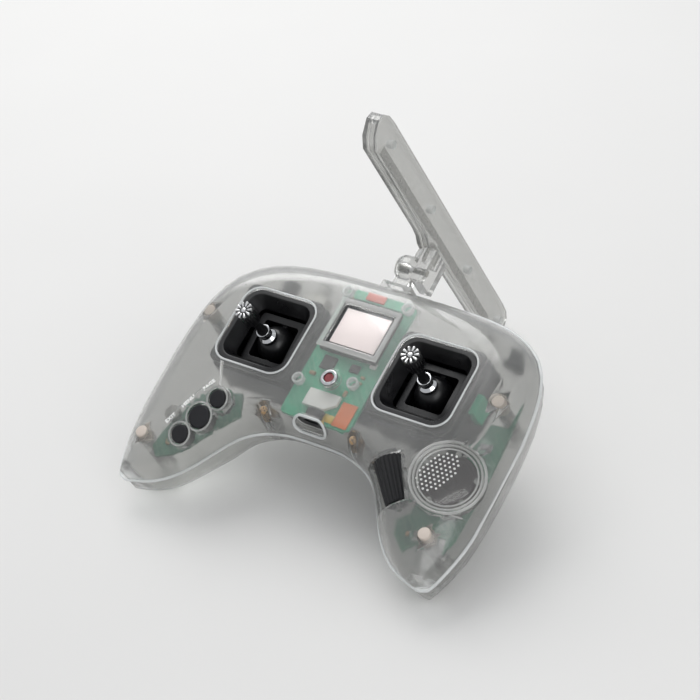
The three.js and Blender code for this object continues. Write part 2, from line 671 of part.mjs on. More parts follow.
function flexCable() {
  const foot = BOARD_TOP_Z + GAP;
  return block([...FLEX.low, foot], [...FLEX.high, foot + FLEX.thick]);
}

function socketConnector() {
  const { width, height, slot, back, face, flange } = CONNECTOR;
  const z = BOARD_TOP_Z + GAP + height / 2;
  const upright = (outline, depth, y, level) => plate(outline, 0, depth)
    .rotate([90, 0, 0]).translate([0, y, level]);
  const body = upright(roundedOutline(width, height, 1.4), back - face - flange / 2, back, z);
  const [wide, high] = SOCKET.map((size) => size - 2 * FREE);
  const shroud = upright(roundedOutline(wide, high, roundEnd(high)), flange, face + flange, SOCKET_Z);
  const hole = upright(roundedOutline(...slot, 1), 6, face + 5, z);
  return cut(join(body, shroud), hole);
}

function radioModule() {
  const [foot, rear] = [BOARD_TOP_Z + GAP, BOARD_Y + BOARD_LENGTH / 2];
  return block([-13, rear - 4.8, foot], [13, rear - 0.2, foot + MODULE_HEIGHT]);
}

function batteryPack() {
  const base = SEAM_Z - BELLY + WALL + FREE;
  return roundedPlate(BATTERY[0], BATTERY[1], 3, base, base + BATTERY[2], 0, COVER_Y);
}

function leftGripBoard() {
  return plate(LEFT_BOARD.slice().reverse(), LEFT_BOARD_Z, LEFT_BOARD_Z + BOARD_THICK);
}

function rightGripBoard() {
  return plate(RIGHT_BOARD, RIGHT_BOARD_Z, RIGHT_BOARD_Z + BOARD_THICK);
}

function hapticMotor() {
  const foot = LEFT_BOARD_Z + BOARD_THICK + FREE;
  return rod([...MOTOR.at, foot], [...MOTOR.at, foot + MOTOR.height], MOTOR.r, 20);
}

// ==== Buttons, roller and speaker ======================================================================

function button({ at, r, top }) {
  const [x, y] = at;
  const low = top - BUTTON_DEEP - BUTTON_DOME;
  const profile = [[0, low], [r, low], [r, top - GAP], [r - BUTTON_DOME, top + 0.2], [0, top + 0.2]];
  return facingUser(turned(profile, x, y, 24), at, top);
}

function powerRing() {
  const { at, r, ring, top, deep } = POWER;
  const [inner, low] = [r + GAP, top - deep];
  const profile = [
    [inner, low], [ring, low], [ring, top - 0.3], [ring - 0.3, top], [inner, top], [inner, low]];
  return turned(profile, ...at, 24);
}

function powerButton() {
  const { at, r, top } = POWER;
  return rod([...at, BOARD_TOP_Z + 1.2], [...at, top - 0.4], r, 20);
}

function rollerWheel() {
  const axis = ROLLER_END.clone().sub(ROLLER_START);
  const across = new THREE.Vector3(axis.y, -axis.x, 0).normalize();
  const up = new THREE.Vector3().crossVectors(axis, across).normalize();
  const ring = (share, radius) => {
    const points = [];
    for (let i = 0; i < ROLLER_RIDGES * 3; i += 1) {
      const angle = i / (ROLLER_RIDGES * 3) * 2 * Math.PI;
      const size = radius - (i % 3 < 2 ? 0 : ROLLER_RIDGE);
      points.push(ROLLER_START.clone().addScaledVector(axis, share)
        .addScaledVector(across, size * Math.cos(angle)).addScaledVector(up, size * Math.sin(angle)));
    }
    return points;
  };
  const [wide, narrow] = ROLLER_R;
  const body = skin([
    ring(0, wide - ROLLER_EDGE), ring(0.03, wide), ring(0.97, narrow), ring(1, narrow - ROLLER_EDGE)]);
  const line = (share) => ROLLER_START.clone().addScaledVector(axis, share).toArray();
  return cut(body, rod(line(-0.1), line(1.1), AXLE_R + GAP, 14));
}

function rollerAxle() {
  const axis = ROLLER_END.clone().sub(ROLLER_START).normalize();
  const start = ROLLER_START.clone().addScaledVector(axis, -AXLE_BEYOND[0]);
  const end = ROLLER_END.clone().addScaledVector(axis, AXLE_BEYOND[1]);
  return rod(start.toArray(), end.toArray(), AXLE_R, 12);
}

// The encoder that carries the roller's far end.
function rollerEncoder() {
  const { width, depth, below, underFace, away } = ENCODER;
  const axis = ROLLER_END.clone().sub(ROLLER_START).normalize();
  const at = ROLLER_START.clone().addScaledVector(axis, -away);
  const turn = THREE.MathUtils.radToDeg(Math.atan2(axis.y, axis.x));
  const body = block([-width / 2, -depth / 2, -below], [width / 2, depth / 2, underFace - WALL])
    .rotate([0, 0, turn]).translate(at.toArray());
  const ends = [-depth, depth].map((d) => at.clone().addScaledVector(axis, d).toArray());
  return cut(body, rod(...ends, AXLE_R + GAP, 12));
}

function speakerGrille() {
  return leaning(rod([0, 0, -GRILLE_THICK], [0, 0, GRILLE_PROUD], GRILLE_R, 40));
}

function speakerDriver() {
  const top = -GRILLE_THICK - DRIVER_BELOW;
  return leaning(rod([0, 0, top - DRIVER_THICK], [0, 0, top], DRIVER_R, 32));
}

// ==== Rear controls ====================================================================================

function toggleBase(x) {
  const [width, depth, height] = TOGGLE_BODY;
  const face = TOGGLE_Y - TOGGLE_BODY_IN;
  const body = block(
    [x - width / 2, face - depth, REAR_Z - height / 2], [x + width / 2, face, REAR_Z + height / 2]);
  const bush = rod([x, face - 1, REAR_Z], [x, TOGGLE_Y + TOGGLE_BUSH_OUT, REAR_Z], TOGGLE_R, 16);
  const mouth = LEVER_WELL_R + 0.7;
  const well = rod([x, TOGGLE_Y - 1.3, REAR_Z], [x, TOGGLE_Y + 10, REAR_Z], LEVER_WELL_R, 16, mouth);
  return cut(join(body, bush), well);
}

function toggleLever(x) {
  const profile = [[0, 0], [LEVER_ROOT_R, 0], [LEVER_ROOT_R - 0.1, LEVER_LENGTH / 2],
    [LEVER_ROOT_R + 0.5, LEVER_LENGTH - 0.8], [LEVER_ROOT_R, LEVER_LENGTH], [0, LEVER_LENGTH]];
  return turned(profile, 0, 0, 14).rotate([-90, 0, 0]).translate([x, TOGGLE_Y, REAR_Z]);
}

function shoulderButton(x) {
  const { wider, thick } = SHOULDER_FLANGE;
  const inner = SHOULDER_IN_Y;
  return join(
    rod([x, inner, REAR_Z], [x, SHOULDER_Y, REAR_Z], SHOULDER_R, 20),
    rod([x, inner - thick, REAR_Z], [x, inner, REAR_Z], SHOULDER_R + wider, 20));
}

// ==== Antenna ==========================================================================================

// A round bar along X about the hinge.
function aboutHinge(fromX, toX, radius, facets) {
  return rod([fromX, HINGE.y, HINGE.z], [toX, HINGE.y, HINGE.z], radius, facets);
}

function bracket() {
  const { half, low, high, inner, rear, flange, flangeThick } = BRACKET;
  const base = block([-half, inner, low], [half, rear, high]);
  const inside = block(
    [-half - flange, inner - flangeThick, low - 1.6], [half + flange, inner + 0.2, high + 1.6]);
  const split = KNUCKLE_SPLIT_X - FREE;
  const arm = block([ARM.outer, rear - 1, HINGE.z + ARM.low], [split, HINGE.y, HINGE.z + ARM.high]);
  const length = split + half;
  const boss = turned([
    [0, 0], [BOSS_R - BOSS_ROUND - 1, 0], [BOSS_R - 1.2, 0.9], [BOSS_R - 0.3, BOSS_ROUND],
    [BOSS_R, BOSS_ROUND + 1.4], [BOSS_R, length - 1.4], [BOSS_R - 0.8, length], [0, length],
  ], 0, 0, 28).rotate([0, 90, 0]).translate([-half, HINGE.y, HINGE.z]);
  return cut(join(base, inside, arm, boss), aboutHinge(-half + 2, half + 1, HINGE_PIN_R + GAP, 14));
}

function hingePin() {
  return aboutHinge(-BRACKET.half + 2.4, BRACKET.half, HINGE_PIN_R, 14);
}

// The knuckle: a cheek on the hinge pin and a neck in which the T turns.
function knuckle() {
  const { near, low, high, neck, neckR } = KNUCKLE;
  const cheek = block([KNUCKLE_SPLIT_X, near, low], [BRACKET.half, SOCKET_END_Y, high]);
  const tube = rod([0, neck, STEM_Z], [0, SOCKET_END_Y, STEM_Z], neckR, 24);
  const socket = rod([0, neck - 1, STEM_Z], [0, SOCKET_END_Y + 1, STEM_Z], SPIGOT_R + GAP, 20);
  return cut(join(cheek, tube), aboutHinge(0, BRACKET.half + 1, HINGE_PIN_R + GAP, 14), socket);
}

// The pin on which the T turns; its head is flattened between the T's halves.
function swivelPin() {
  const { wider, from, to } = SPIGOT_HEAD;
  const pin = rod([0, SOCKET_END_Y - SPIGOT_LENGTH, STEM_Z], [0, BAR_Y + to - 0.4, STEM_Z], SPIGOT_R, 20);
  const head = rod([0, BAR_Y + from, STEM_Z], [0, BAR_Y + to, STEM_Z], SPIGOT_R + wider, 20);
  const half = BAR_THICK / 2 - BAR_SKIN - 0.1;
  const inKnuckle = block([-BIG, 0, -BIG], [BIG, SOCKET_END_Y, BIG]);
  return join(pin, head).intersect(block([-half, 0, -BIG], [half, BIG, BIG]).add(inKnuckle));
}

// The outline of the T in the (Y, Z) plane, shrunk by the given margin.
function teeOutline(margin) {
  const half = BAR_LENGTH / 2 - margin;
  const near = BAR_Y + margin;
  const far = BAR_Y + BAR_WIDTH - margin;
  const neck = STEM_HALF - margin;
  const stem = SOCKET_END_Y + GAP + margin;
  const upper = [
    [stem, neck], [BAR_Y - 2.4 + margin, neck + 2.6], [near - 0.6, neck + 7.4], [near, neck + 13.4],
    [near + 0.4, half - 9], [near + 4, half - 3.5], [far - 7, half], [far - 3, half - 1.2],
    [far - 0.6, half - 5.5], [far, half - 12],
  ];
  const lower = upper.map(([y, z]) => [y, -z]).reverse();
  return [...upper, ...lower];
}

// A flat layer of the T between two distances from its middle plane. The outline is drawn as (x, y) and
// becomes (y, z); the layer's height becomes x.
function teeLayer(margin, from, to) {
  const layer = plate(teeOutline(margin).reverse(), from, to);
  return layer.transform([0, 1, 0, 0, 0, 0, 1, 0, 1, 0, 0, 0, 0, 0, STEM_Z, 1]);
}

function teeHalf(side) {
  const half = BAR_THICK / 2;
  const start = GAP / 2;
  const shell = cut(teeLayer(0, start, half), teeLayer(BAR_SKIN, start - 1, half - BAR_SKIN));
  const pegY = BAR_Y + BAR_WIDTH * PEG_ACROSS;
  const pegs = PEGS_FROM_END.map((away) => {
    const z = STEM_Z + BAR_LENGTH / 2 - away;
    return rod([start, pegY, z], [half - 0.5, pegY, z], PEG_R, 12);
  });
  const pinEnd = BAR_Y + SPIGOT_HEAD.to + 0.6;
  const bore = rod([0, 0, STEM_Z], [0, pinEnd, STEM_Z], SPIGOT_R + GAP, 20);
  const room = block([-BIG, 0, STEM_Z - 5], [half - BAR_SKIN, pinEnd, STEM_Z + 5]);
  const right = cut(join(shell, ...pegs), bore.intersect(room));
  return side > 0 ? right : right.mirror([1, 0, 0]);
}

function antennaElement() {
  const { thick, width, inset, short } = ELEMENT;
  const near = BAR_Y + inset;
  const reach = BAR_LENGTH / 2 - short;
  return block([-thick / 2, near, STEM_Z - reach], [thick / 2, near + width, STEM_Z + reach]);
}

// ==== Screws ===========================================================================================

function screw(x, y) {
  const neck = SCREW_HEAD_Z - GAP;
  return turned([[0, neck - SCREW_HEAD], [SCREW_HEAD_R, neck - SCREW_HEAD], [SCREW_HEAD_R, neck - 0.6],
    [SCREW_R, neck], [SCREW_R, SCREW_TIP_Z - 1.2], [0.4, SCREW_TIP_Z], [0, SCREW_TIP_Z]], x, y, 14);
}

// ==== Finishes =========================================================================================

const FINISH = {
  clear: { color: 0xcfd4d6, roughness: 0.35, metalness: 0 },
  black: { color: 0x17181a, roughness: 0.5, metalness: 0 },
  rubber: { color: 0x242427, roughness: 0.8, metalness: 0 },
  metal: { color: 0xb9bcc0, roughness: 0.25, metalness: 1 },
  board: { color: 0x1f7a5c, roughness: 0.5, metalness: 0 },
  glass: { color: 0xe9eef0, roughness: 0.05, metalness: 0 },
  red: { color: 0x8d3a3c, roughness: 0.5, metalness: 0 },
  white: { color: 0xe6e8e4, roughness: 0.7, metalness: 0 },
  amber: { color: 0xd9793a, roughness: 0.5, metalness: 0 },
  battery: { color: 0x2f3a4a, roughness: 0.6, metalness: 0 },
};

function mesh(name, body, finish) {
  const node = new THREE.Mesh(toGeometry(body), new THREE.MeshStandardMaterial(FINISH[finish]));
  node.name = name;
  return node;
}

// ==== Assembly =========================================================================================

const casingGroup = new THREE.Group();
casingGroup.add(
  mesh('top_shell', topShell(), 'clear'),
  mesh('bottom_shell', bottomShell(), 'clear'),
  mesh('battery_cover', batteryCover(), 'clear'),
  mesh('battery_pack', batteryPack(), 'battery'),
  mesh('display_window', displayWindow(), 'glass'),
  mesh('display_module', displayModule(), 'white'),
  mesh('main_board', mainBoard(), 'board'),
  mesh('keypad', keypad(), 'white'),
  mesh('flex_cable', flexCable(), 'amber'),
  mesh('socket_connector', socketConnector(), 'black'),
  mesh('radio_module', radioModule(), 'amber'),
  mesh('left_grip_board', leftGripBoard(), 'board'),
  mesh('right_grip_board', rightGripBoard(), 'board'),
  mesh('haptic_motor', hapticMotor(), 'metal'),
  mesh('power_ring', powerRing(), 'metal'),
  mesh('power_button', powerButton(), 'red'),
  mesh('roller_wheel', rollerWheel(), 'rubber'),
  mesh('roller_axle', rollerAxle(), 'metal'),
  mesh('roller_encoder', rollerEncoder(), 'black'),
  mesh('speaker_grille', speakerGrille(), 'clear'),
  mesh('speaker_driver', speakerDriver(), 'metal'),
);
for (const [name, shape] of Object.entries(BUTTONS)) {
  casingGroup.add(mesh(name, button(shape), 'rubber'));
}
for (const [side, sx] of Object.entries(SIDES)) {
  const x = sx * GIMBAL_X;
  const lean = side === 'left' ? LEFT_STICK_LEAN : { towardsUser: 0, outwards: 0 };
  const yokeLean = (body) => aboutPivot(body, x, [[lean.towardsUser, 0, 0]]);
  const stickLean = (body) => aboutPivot(body, x, [[0, sx * lean.outwards, 0], [lean.towardsUser, 0, 0]]);
  casingGroup.add(
    mesh(`${side}_stick_bezel`, bezel(x), 'black'),
    mesh(`${side}_gimbal_frame`, gimbalFrame(x), 'black'),
    mesh(`${side}_outer_yoke`, yokeLean(outerYoke(x)), 'black'),
    mesh(`${side}_stick_carrier`, stickLean(stickCarrier(x)), 'black'),
    mesh(`${side}_stick_collar`, stickLean(stickCollar(x)), 'metal'),
    mesh(`${side}_stick_shaft`, stickLean(stickShaft(x)), 'black'),
    mesh(`${side}_stick_end`, stickLean(stickEnd(x)), 'metal'),
    mesh(`${side}_hall_sensor`, hallSensor(x, sx), 'board'),
    mesh(`${side}_toggle_base`, toggleBase(sx * TOGGLE_X), 'metal'),
    mesh(`${side}_toggle_lever`, toggleLever(sx * TOGGLE_X), 'metal'),
    mesh(`${side}_shoulder_button`, shoulderButton(sx * SHOULDER_X), 'rubber'),
  );
  for (const [place, [px, py]] of Object.entries(SCREWS)) {
    casingGroup.add(mesh(`${side}_${place}_screw`, screw(sx * px, py), 'metal'));
  }
}
casingGroup.add(
  mesh('antenna_bracket', bracket(), 'clear'),
  mesh('antenna_hinge_pin', hingePin(), 'metal'),
);

// The antenna leans a little about its hinge.
const antennaGroup = new THREE.Group();
antennaGroup.add(
  mesh('antenna_knuckle', knuckle(), 'clear'),
  mesh('antenna_swivel_pin', swivelPin(), 'metal'),
  mesh('antenna_left_half', teeHalf(-1), 'clear'),
  mesh('antenna_right_half', teeHalf(1), 'clear'),
  mesh('antenna_element', antennaElement(), 'metal'),
);
antennaGroup.rotation.x = ANTENNA_LEAN;
antennaGroup.position.copy(HINGE.clone().sub(HINGE.clone().applyEuler(antennaGroup.rotation)));

// ==== Stand ============================================================================================

// Every corner of a group, in the frame of its parent.
function corners(group) {
  const points = [];
  group.updateMatrixWorld(true);
  group.traverse((node) => {
    if (!node.isMesh) return;
    const position = node.geometry.attributes.position;
    for (let i = 0; i < position.count; i += 1) {
      points.push(new THREE.Vector3().fromBufferAttribute(position, i).applyMatrix4(node.matrixWorld));
    }
  });
  return points;
}

const lowest = (points, tilt) => Math.min(...points.map((p) => p.y * Math.sin(tilt) + p.z * Math.cos(tilt)));

// The tilt at which the casing and the antenna's lower tip stand on one level.
function standTilt(casingPoints, antennaPoints) {
  let [low, high] = [0, Math.PI / 3];
  for (let i = 0; i < 40; i += 1) {
    const middle = (low + high) / 2;
    if (lowest(casingPoints, middle) > lowest(antennaPoints, middle)) low = middle;
    else high = middle;
  }
  return (low + high) / 2;
}

const casingPoints = corners(casingGroup);
const antennaPoints = corners(antennaGroup);
const object = new THREE.Group();
object.name = 'radio_transmitter';
object.add(casingGroup, antennaGroup);
object.rotation.x = standTilt(casingPoints, antennaPoints);

// The origin is under the middle of the object, on the surface that it stands on.
const bounds = new THREE.Box3().setFromPoints(
  [...casingPoints, ...antennaPoints].map((p) => p.clone().applyEuler(object.rotation)));
const middle = bounds.getCenter(new THREE.Vector3());
object.position.set(-middle.x, -middle.y, -bounds.min.z);

export default object;
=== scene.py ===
"""Looks of a handheld radio transmitter in a frosted clear shell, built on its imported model."""

import json
import math

import bmesh
import bpy
from bpy.props import FloatProperty, FloatVectorProperty, IntProperty, PointerProperty
from bpy.types import Operator, Panel, PropertyGroup
from mathutils import Matrix, Vector


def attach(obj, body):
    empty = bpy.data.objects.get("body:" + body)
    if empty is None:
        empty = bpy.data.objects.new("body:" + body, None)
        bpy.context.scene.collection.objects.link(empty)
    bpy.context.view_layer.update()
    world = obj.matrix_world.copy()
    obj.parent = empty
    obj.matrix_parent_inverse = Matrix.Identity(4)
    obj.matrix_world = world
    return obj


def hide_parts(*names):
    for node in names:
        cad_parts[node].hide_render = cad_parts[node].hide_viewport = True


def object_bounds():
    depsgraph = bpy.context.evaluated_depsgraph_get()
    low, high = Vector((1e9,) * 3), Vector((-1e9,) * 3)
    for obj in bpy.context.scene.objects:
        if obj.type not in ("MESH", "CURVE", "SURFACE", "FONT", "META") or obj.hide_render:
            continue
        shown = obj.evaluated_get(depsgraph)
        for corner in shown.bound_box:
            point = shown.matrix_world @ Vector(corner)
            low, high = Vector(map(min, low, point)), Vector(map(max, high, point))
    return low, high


bl_info = {
    "name": "Radio transmitter",
    "version": (1, 0, 0),
    "blender": (4, 5, 0),
    "location": "3D View > Sidebar > Transmitter",
    "description": "Builds the fine surfaces and finishes of a handheld radio transmitter",
    "category": "Object",
}

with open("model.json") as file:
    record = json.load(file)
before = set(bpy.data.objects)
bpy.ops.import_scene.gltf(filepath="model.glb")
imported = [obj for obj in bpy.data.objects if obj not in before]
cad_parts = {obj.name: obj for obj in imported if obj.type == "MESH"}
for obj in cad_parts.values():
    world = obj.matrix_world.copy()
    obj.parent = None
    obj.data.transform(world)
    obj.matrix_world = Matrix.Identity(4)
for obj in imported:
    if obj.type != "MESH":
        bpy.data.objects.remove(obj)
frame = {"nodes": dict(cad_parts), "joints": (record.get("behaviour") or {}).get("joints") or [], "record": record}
CAD_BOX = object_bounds()
BODY_OF = {n: b for b, ns in frame["record"]["behaviour"]["bodies"].items() for n in ns}
JOINT = {j["name"]: j for j in frame["joints"]}
SIDES = {"left": -1, "right": 1}
MM = 0.001

# ---- The casing's own frame ---------------------------------------------------------------------
# The casing leans back as it stands. Its own frame has +X to the user's right, +Y away from the
# user and +Z out of the face, with the origin between the sticks, level with the openings' rims.
STICK_X = 44.0
STICK_Z = -14.0
HINGE = Vector((0, 58.5, -16)) * MM


def casing_frame():
    """The matrix from the casing's own frame to the row frame, in metres."""
    across = JOINT["right_stick_side_to_side"]
    tilt = math.atan2(across["axis"][2], across["axis"][1])
    turn = Matrix.Rotation(tilt, 4, "X")
    pivot = turn @ (Vector((STICK_X, 0, STICK_Z)) * MM)
    return Matrix.Translation(Vector(across["pos_m"]) - pivot) @ turn


CASE = casing_frame()


def antenna_frame():
    """The matrix from the antenna's upright position in the casing's frame to the row frame."""
    axis = CASE.inverted().to_3x3() @ Vector(JOINT["antenna_swivel"]["axis"])
    lean = Matrix.Rotation(math.atan2(axis.z, axis.y), 4, "X")
    return CASE @ Matrix.Translation(HINGE) @ lean @ Matrix.Translation(-HINGE)


ANTENNA = antenna_frame()


def about(point, turn):
    """A turn about a point of the casing's frame that is given in millimetres."""
    centre = Vector(point) * MM
    return Matrix.Translation(centre) @ turn @ Matrix.Translation(-centre)


# The left stick keeps the place it is left in: a little towards the user and outwards.
LEFT_LEAN = about(
    (-STICK_X, 0, STICK_Z),
    Matrix.Rotation(math.radians(5.2), 4, "X") @ Matrix.Rotation(math.radians(-1.9), 4, "Y"),
)


def linear(code):
    """A colour written as sRGB hex, in linear light."""
    parts = [int(code[i : i + 2], 16) / 255 for i in (1, 3, 5)]
    return tuple(c / 12.92 if c <= 0.04045 else ((c + 0.055) / 1.055) ** 2.4 for c in parts)


# ---- What a user can change ---------------------------------------------------------------------


class TransmitterColours(PropertyGroup):
    shell: FloatVectorProperty(
        name="Shell", description="Tint of the frosted clear plastic", subtype="COLOR",
        default=linear("#DDDDDB"),
    )
    # Painted highlight: this tint paints the shell's rounded lips whiter than the shell, for the light they catch.
    edge: FloatVectorProperty(
        name="Edges", description="Tint of the shell's light-gathering edges", subtype="COLOR",
        default=linear("#F1F3F3"),
    )
    board: FloatVectorProperty(
        name="Main board", description="Solder mask of the main board", subtype="COLOR",
        default=linear("#00B586"),
    )
    grip_board: FloatVectorProperty(
        name="Grip boards", description="Solder mask of the boards in the grips", subtype="COLOR",
        default=linear("#006B4A"),
    )
    keys: FloatVectorProperty(
        name="Keys", description="Rubber of the keys", subtype="COLOR", default=linear("#212124")
    )
    stick_modules: FloatVectorProperty(
        name="Stick modules", description="Plastic of the stick wells", subtype="COLOR",
        default=linear("#0D0D0F"),
    )
    plating: FloatVectorProperty(
        name="Plating", description="Bright plated metal", subtype="COLOR",
        default=linear("#DCDDDF"),
    )
    screen: FloatVectorProperty(
        name="Screen", description="Lit screen", subtype="COLOR", default=linear("#F3E6E3")
    )
    floor: FloatVectorProperty(
        name="Floor", description="Floor and backdrop", subtype="COLOR", default=linear("#E2E1DF")
    )


class TransmitterSizes(PropertyGroup):
    lip: FloatProperty(
        name="Opening lip", description="Width of the rounded lip round each stick opening",
        default=1.0 * MM, unit="LENGTH",
    )
    bead: FloatProperty(
        name="Seam bead", description="Radius of the bead along the casing's seam",
        default=0.75 * MM, unit="LENGTH",
    )
    edge: FloatProperty(
        name="Edge rounding", description="Rounding of small moulded edges",
        default=0.22 * MM, unit="LENGTH",
    )
    letters: FloatProperty(
        name="Letter height", description="Height of the words at the keys",
        default=1.95 * MM, unit="LENGTH",
    )
    hole: FloatProperty(
        name="Speaker hole", description="Radius of one hole in the speaker cover",
        default=0.24 * MM, unit="LENGTH",
    )
    petals: IntProperty(
        name="Crown teeth", description="Teeth of the crown on each stick", default=10, min=4
    )


def colours():
    return bpy.context.scene.transmitter_colours


def sizes():
    return bpy.context.scene.transmitter_sizes


# ---- Modelling helpers --------------------------------------------------------------------------


def only(*objects):
    """Selects these objects and nothing else."""
    if bpy.context.object and bpy.context.object.mode != "OBJECT":
        bpy.ops.object.mode_set(mode="OBJECT")
    bpy.ops.object.select_all(action="DESELECT")
    for item in objects:
        item.select_set(True)
    bpy.context.view_layer.objects.active = objects[0]


def placed(name, data):
    """A new object in the scene that holds this data."""
    item = bpy.data.objects.new(name, data)
    bpy.context.scene.collection.objects.link(item)
    return item


def apply(piece, kind, **settings):
    """Adds a modifier with its settings and applies it."""
    only(piece)
    modifier = piece.modifiers.new(kind.title(), kind)
    for key, value in settings.items():
        setattr(modifier, key, value)
    bpy.ops.object.modifier_apply(modifier=modifier.name)


def round_edges(piece, width, segments=2):
    """Rounds every sharp edge and shades the rest smooth."""
    apply(
        piece, "BEVEL", width=width, segments=segments, limit_method="ANGLE",
        angle_limit=math.radians(40), use_clamp_overlap=True,
    )
    only(piece)
    bpy.ops.object.shade_smooth_by_angle(angle=math.radians(35))


def cut_away(piece, cutter):
    """Cuts one piece's shape out of another and deletes the cutter."""
    apply(piece, "BOOLEAN", operation="DIFFERENCE", object=cutter, solver="EXACT")
    bpy.data.objects.remove(cutter)


def settle(piece, name, body, material, place=CASE):
    """Puts a finished piece into the row frame, with its place in its mesh, and lets it ride."""
    only(piece)
    bpy.ops.object.transform_apply(location=True, rotation=True, scale=True)
    piece.data.transform(place)
    piece.name = piece.data.name = name
    if material is not None:
        piece.data.materials.clear()
        piece.data.materials.append(material)
    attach(piece, body)
    return piece


def merge(pieces):
    """Joins several pieces into the first one."""
    only(*pieces)
    if len(pieces) > 1:
        bpy.ops.object.join()
    return pieces[0]


def moulded(node, name, material, edge=None, smooth=38, segments=2):
    """A merged and edge-rounded copy of a node, standing for it."""
    piece = placed(name, frame["nodes"][node].data.copy())
    only(piece)
    bpy.ops.object.mode_set(mode="EDIT")
    bpy.ops.mesh.select_all(action="SELECT")
    bpy.ops.mesh.remove_doubles(threshold=2e-6)
    bpy.ops.mesh.dissolve_limited(angle_limit=math.radians(0.6))
    bpy.ops.object.mode_set(mode="OBJECT")
    piece.data.materials.clear()
    piece.data.materials.append(material)
    width = sizes().edge if edge is None else edge * MM
    if width > 0:
        apply(
            piece, "BEVEL", width=width, segments=segments, limit_method="ANGLE",
            angle_limit=math.radians(45), use_clamp_overlap=False,
        )
    only(piece)
    bpy.ops.object.shade_smooth_by_angle(angle=math.radians(smooth))
    apply(piece, "WEIGHTED_NORMAL", mode="FACE_AREA", weight=50, keep_sharp=True)
    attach(piece, BODY_OF[node])
    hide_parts(node)
    return piece


def cylinder(radius, low, high, at=(0, 0), facets=32):
    """An upright cylinder in the casing's frame; all in millimetres."""
    bpy.ops.object.select_all(action="DESELECT")
    bpy.ops.mesh.primitive_cylinder_add(
        vertices=facets, radius=radius * MM, depth=(high - low) * MM,
        location=(at[0] * MM, at[1] * MM, (low + high) / 2 * MM),
    )
    piece = bpy.context.object
    bpy.ops.object.transform_apply(location=True, rotation=True, scale=True)
    return piece


def block(low, high, edge=0.15):
    """A box between two corners with rounded edges; all in millimetres."""
    bpy.ops.object.select_all(action="DESELECT")
    bpy.ops.mesh.primitive_cube_add(size=1)
    piece = bpy.context.object
    piece.scale = [(b - a) * MM for a, b in zip(low, high)]
    piece.location = [(a + b) / 2 * MM for a, b in zip(low, high)]
    bpy.ops.object.transform_apply(location=True, rotation=True, scale=True)
    if edge:
        round_edges(piece, edge * MM)
    return piece


def tube(points, radius, cyclic=False):
    """A round bead along points given in metres."""
    curve = bpy.data.curves.new("bead", "CURVE")
    curve.dimensions = "3D"
    spline = curve.splines.new("POLY")
    spline.points.add(len(points) - 1)
    for target, point in zip(spline.points, points):
        target.co = (*point, 1)
    spline.use_cyclic_u = cyclic
    curve.bevel_depth = radius
    curve.bevel_resolution = 4
    curve.use_fill_caps = not cyclic
    only(placed("bead", curve))
    bpy.ops.object.convert(target="MESH")
    bead = bpy.context.object
    bpy.ops.object.shade_smooth()
    return bead


def ring(radius, level, count, at=(0, 0)):
    """Points in metres round a level circle that is given in millimetres."""
    angles = (i / count * 2 * math.pi for i in range(count))
    return [
        Vector((at[0] + radius * math.cos(a), at[1] + radius * math.sin(a), level)) * MM
        for a in angles
    ]


def rounded_square(width, depth, radius):
    """The points round a rounded rectangle, in millimetres, anticlockwise."""
    steps = 8
    points = []
    for quarter, (sx, sy) in enumerate(((1, 1), (-1, 1), (-1, -1), (1, -1))):
        for i in range(steps + 1):
            angle = (quarter + i / steps) * math.pi / 2
            points.append((
                sx * (width / 2 - radius) + radius * math.cos(angle),
                sy * (depth / 2 - radius) + radius * math.sin(angle),
            ))
    return points


# ---- Material helpers ---------------------------------------------------------------------------


def add(tree, kind, links=(), **settings):
    """Adds a node with its settings and links. A link is (its input, another node's output)."""
    node = tree.nodes.new(kind)
    for key, value in settings.items():
        if hasattr(node, key) and key not in node.inputs:
            setattr(node, key, value)
        else:
            node.inputs[key.replace("_", " ")].default_value = value
    for target, source in links:
        tree.links.new(source, node.inputs[target])
    return node


def new_material(name, base, roughness, **settings):
    """A material with one principled shader. Returns the material, its tree and the shader."""
    material = bpy.data.materials.new(name)
    material.use_nodes = True
    tree = material.node_tree
    tree.nodes.clear()
    shader = add(tree, "ShaderNodeBsdfPrincipled")
    shader.inputs["Base Color"].default_value = (*base, 1)
    shader.inputs["Roughness"].default_value = roughness
    for key, value in settings.items():
        shader.inputs[key.replace("_", " ")].default_value = value
    add(tree, "ShaderNodeOutputMaterial", [("Surface", shader.outputs[0])])
    return material, tree, shader


def pattern(tree, per_mm, detail):
    """A noise whose grain repeats about this many times in a millimetre."""
    where = add(tree, "ShaderNodeTexCoord")
    noise = add(
        tree, "ShaderNodeTexNoise", [("Vector", where.outputs["Object"])],
        Scale=per_mm / MM, Detail=detail, Roughness=0.5,
    )
    return noise.outputs["Fac"]


def spread(tree, source, low, high):
    """Maps a noise, which stays near the middle, to a range of values."""
    node = add(tree, "ShaderNodeMapRange", [("Value", source)])
    node.inputs["From Min"].default_value = 0.3
    node.inputs["From Max"].default_value = 0.7
    node.inputs["To Min"].default_value = low
    node.inputs["To Max"].default_value = high
    return node.outputs["Result"]


def uneven(tree, shader, soft, low, high):
    """Lets the roughness follow a noise between two values."""
    tree.links.new(spread(tree, soft, low, high), shader.inputs["Roughness"])


def grain(tree, shader, height, distance):
    """Raises the surface by a height map; distance is the relief in metres."""
    bump = add(tree, "ShaderNodeBump", [("Height", height)], Strength=1.0, Distance=distance)
    tree.links.new(bump.outputs[0], shader.inputs["Normal"])


def blend(tree, shader, factor):
    """Feeds the base colour from a mix of two colours. Returns the mix's two colour inputs."""
    mix = add(tree, "ShaderNodeMix", [("Factor", factor)], data_type="RGBA")
    result = next(s for s in mix.outputs if s.type == "RGBA")
    tree.links.new(result, shader.inputs["Base Color"])
    return [s for s in mix.inputs if s.type == "RGBA"]


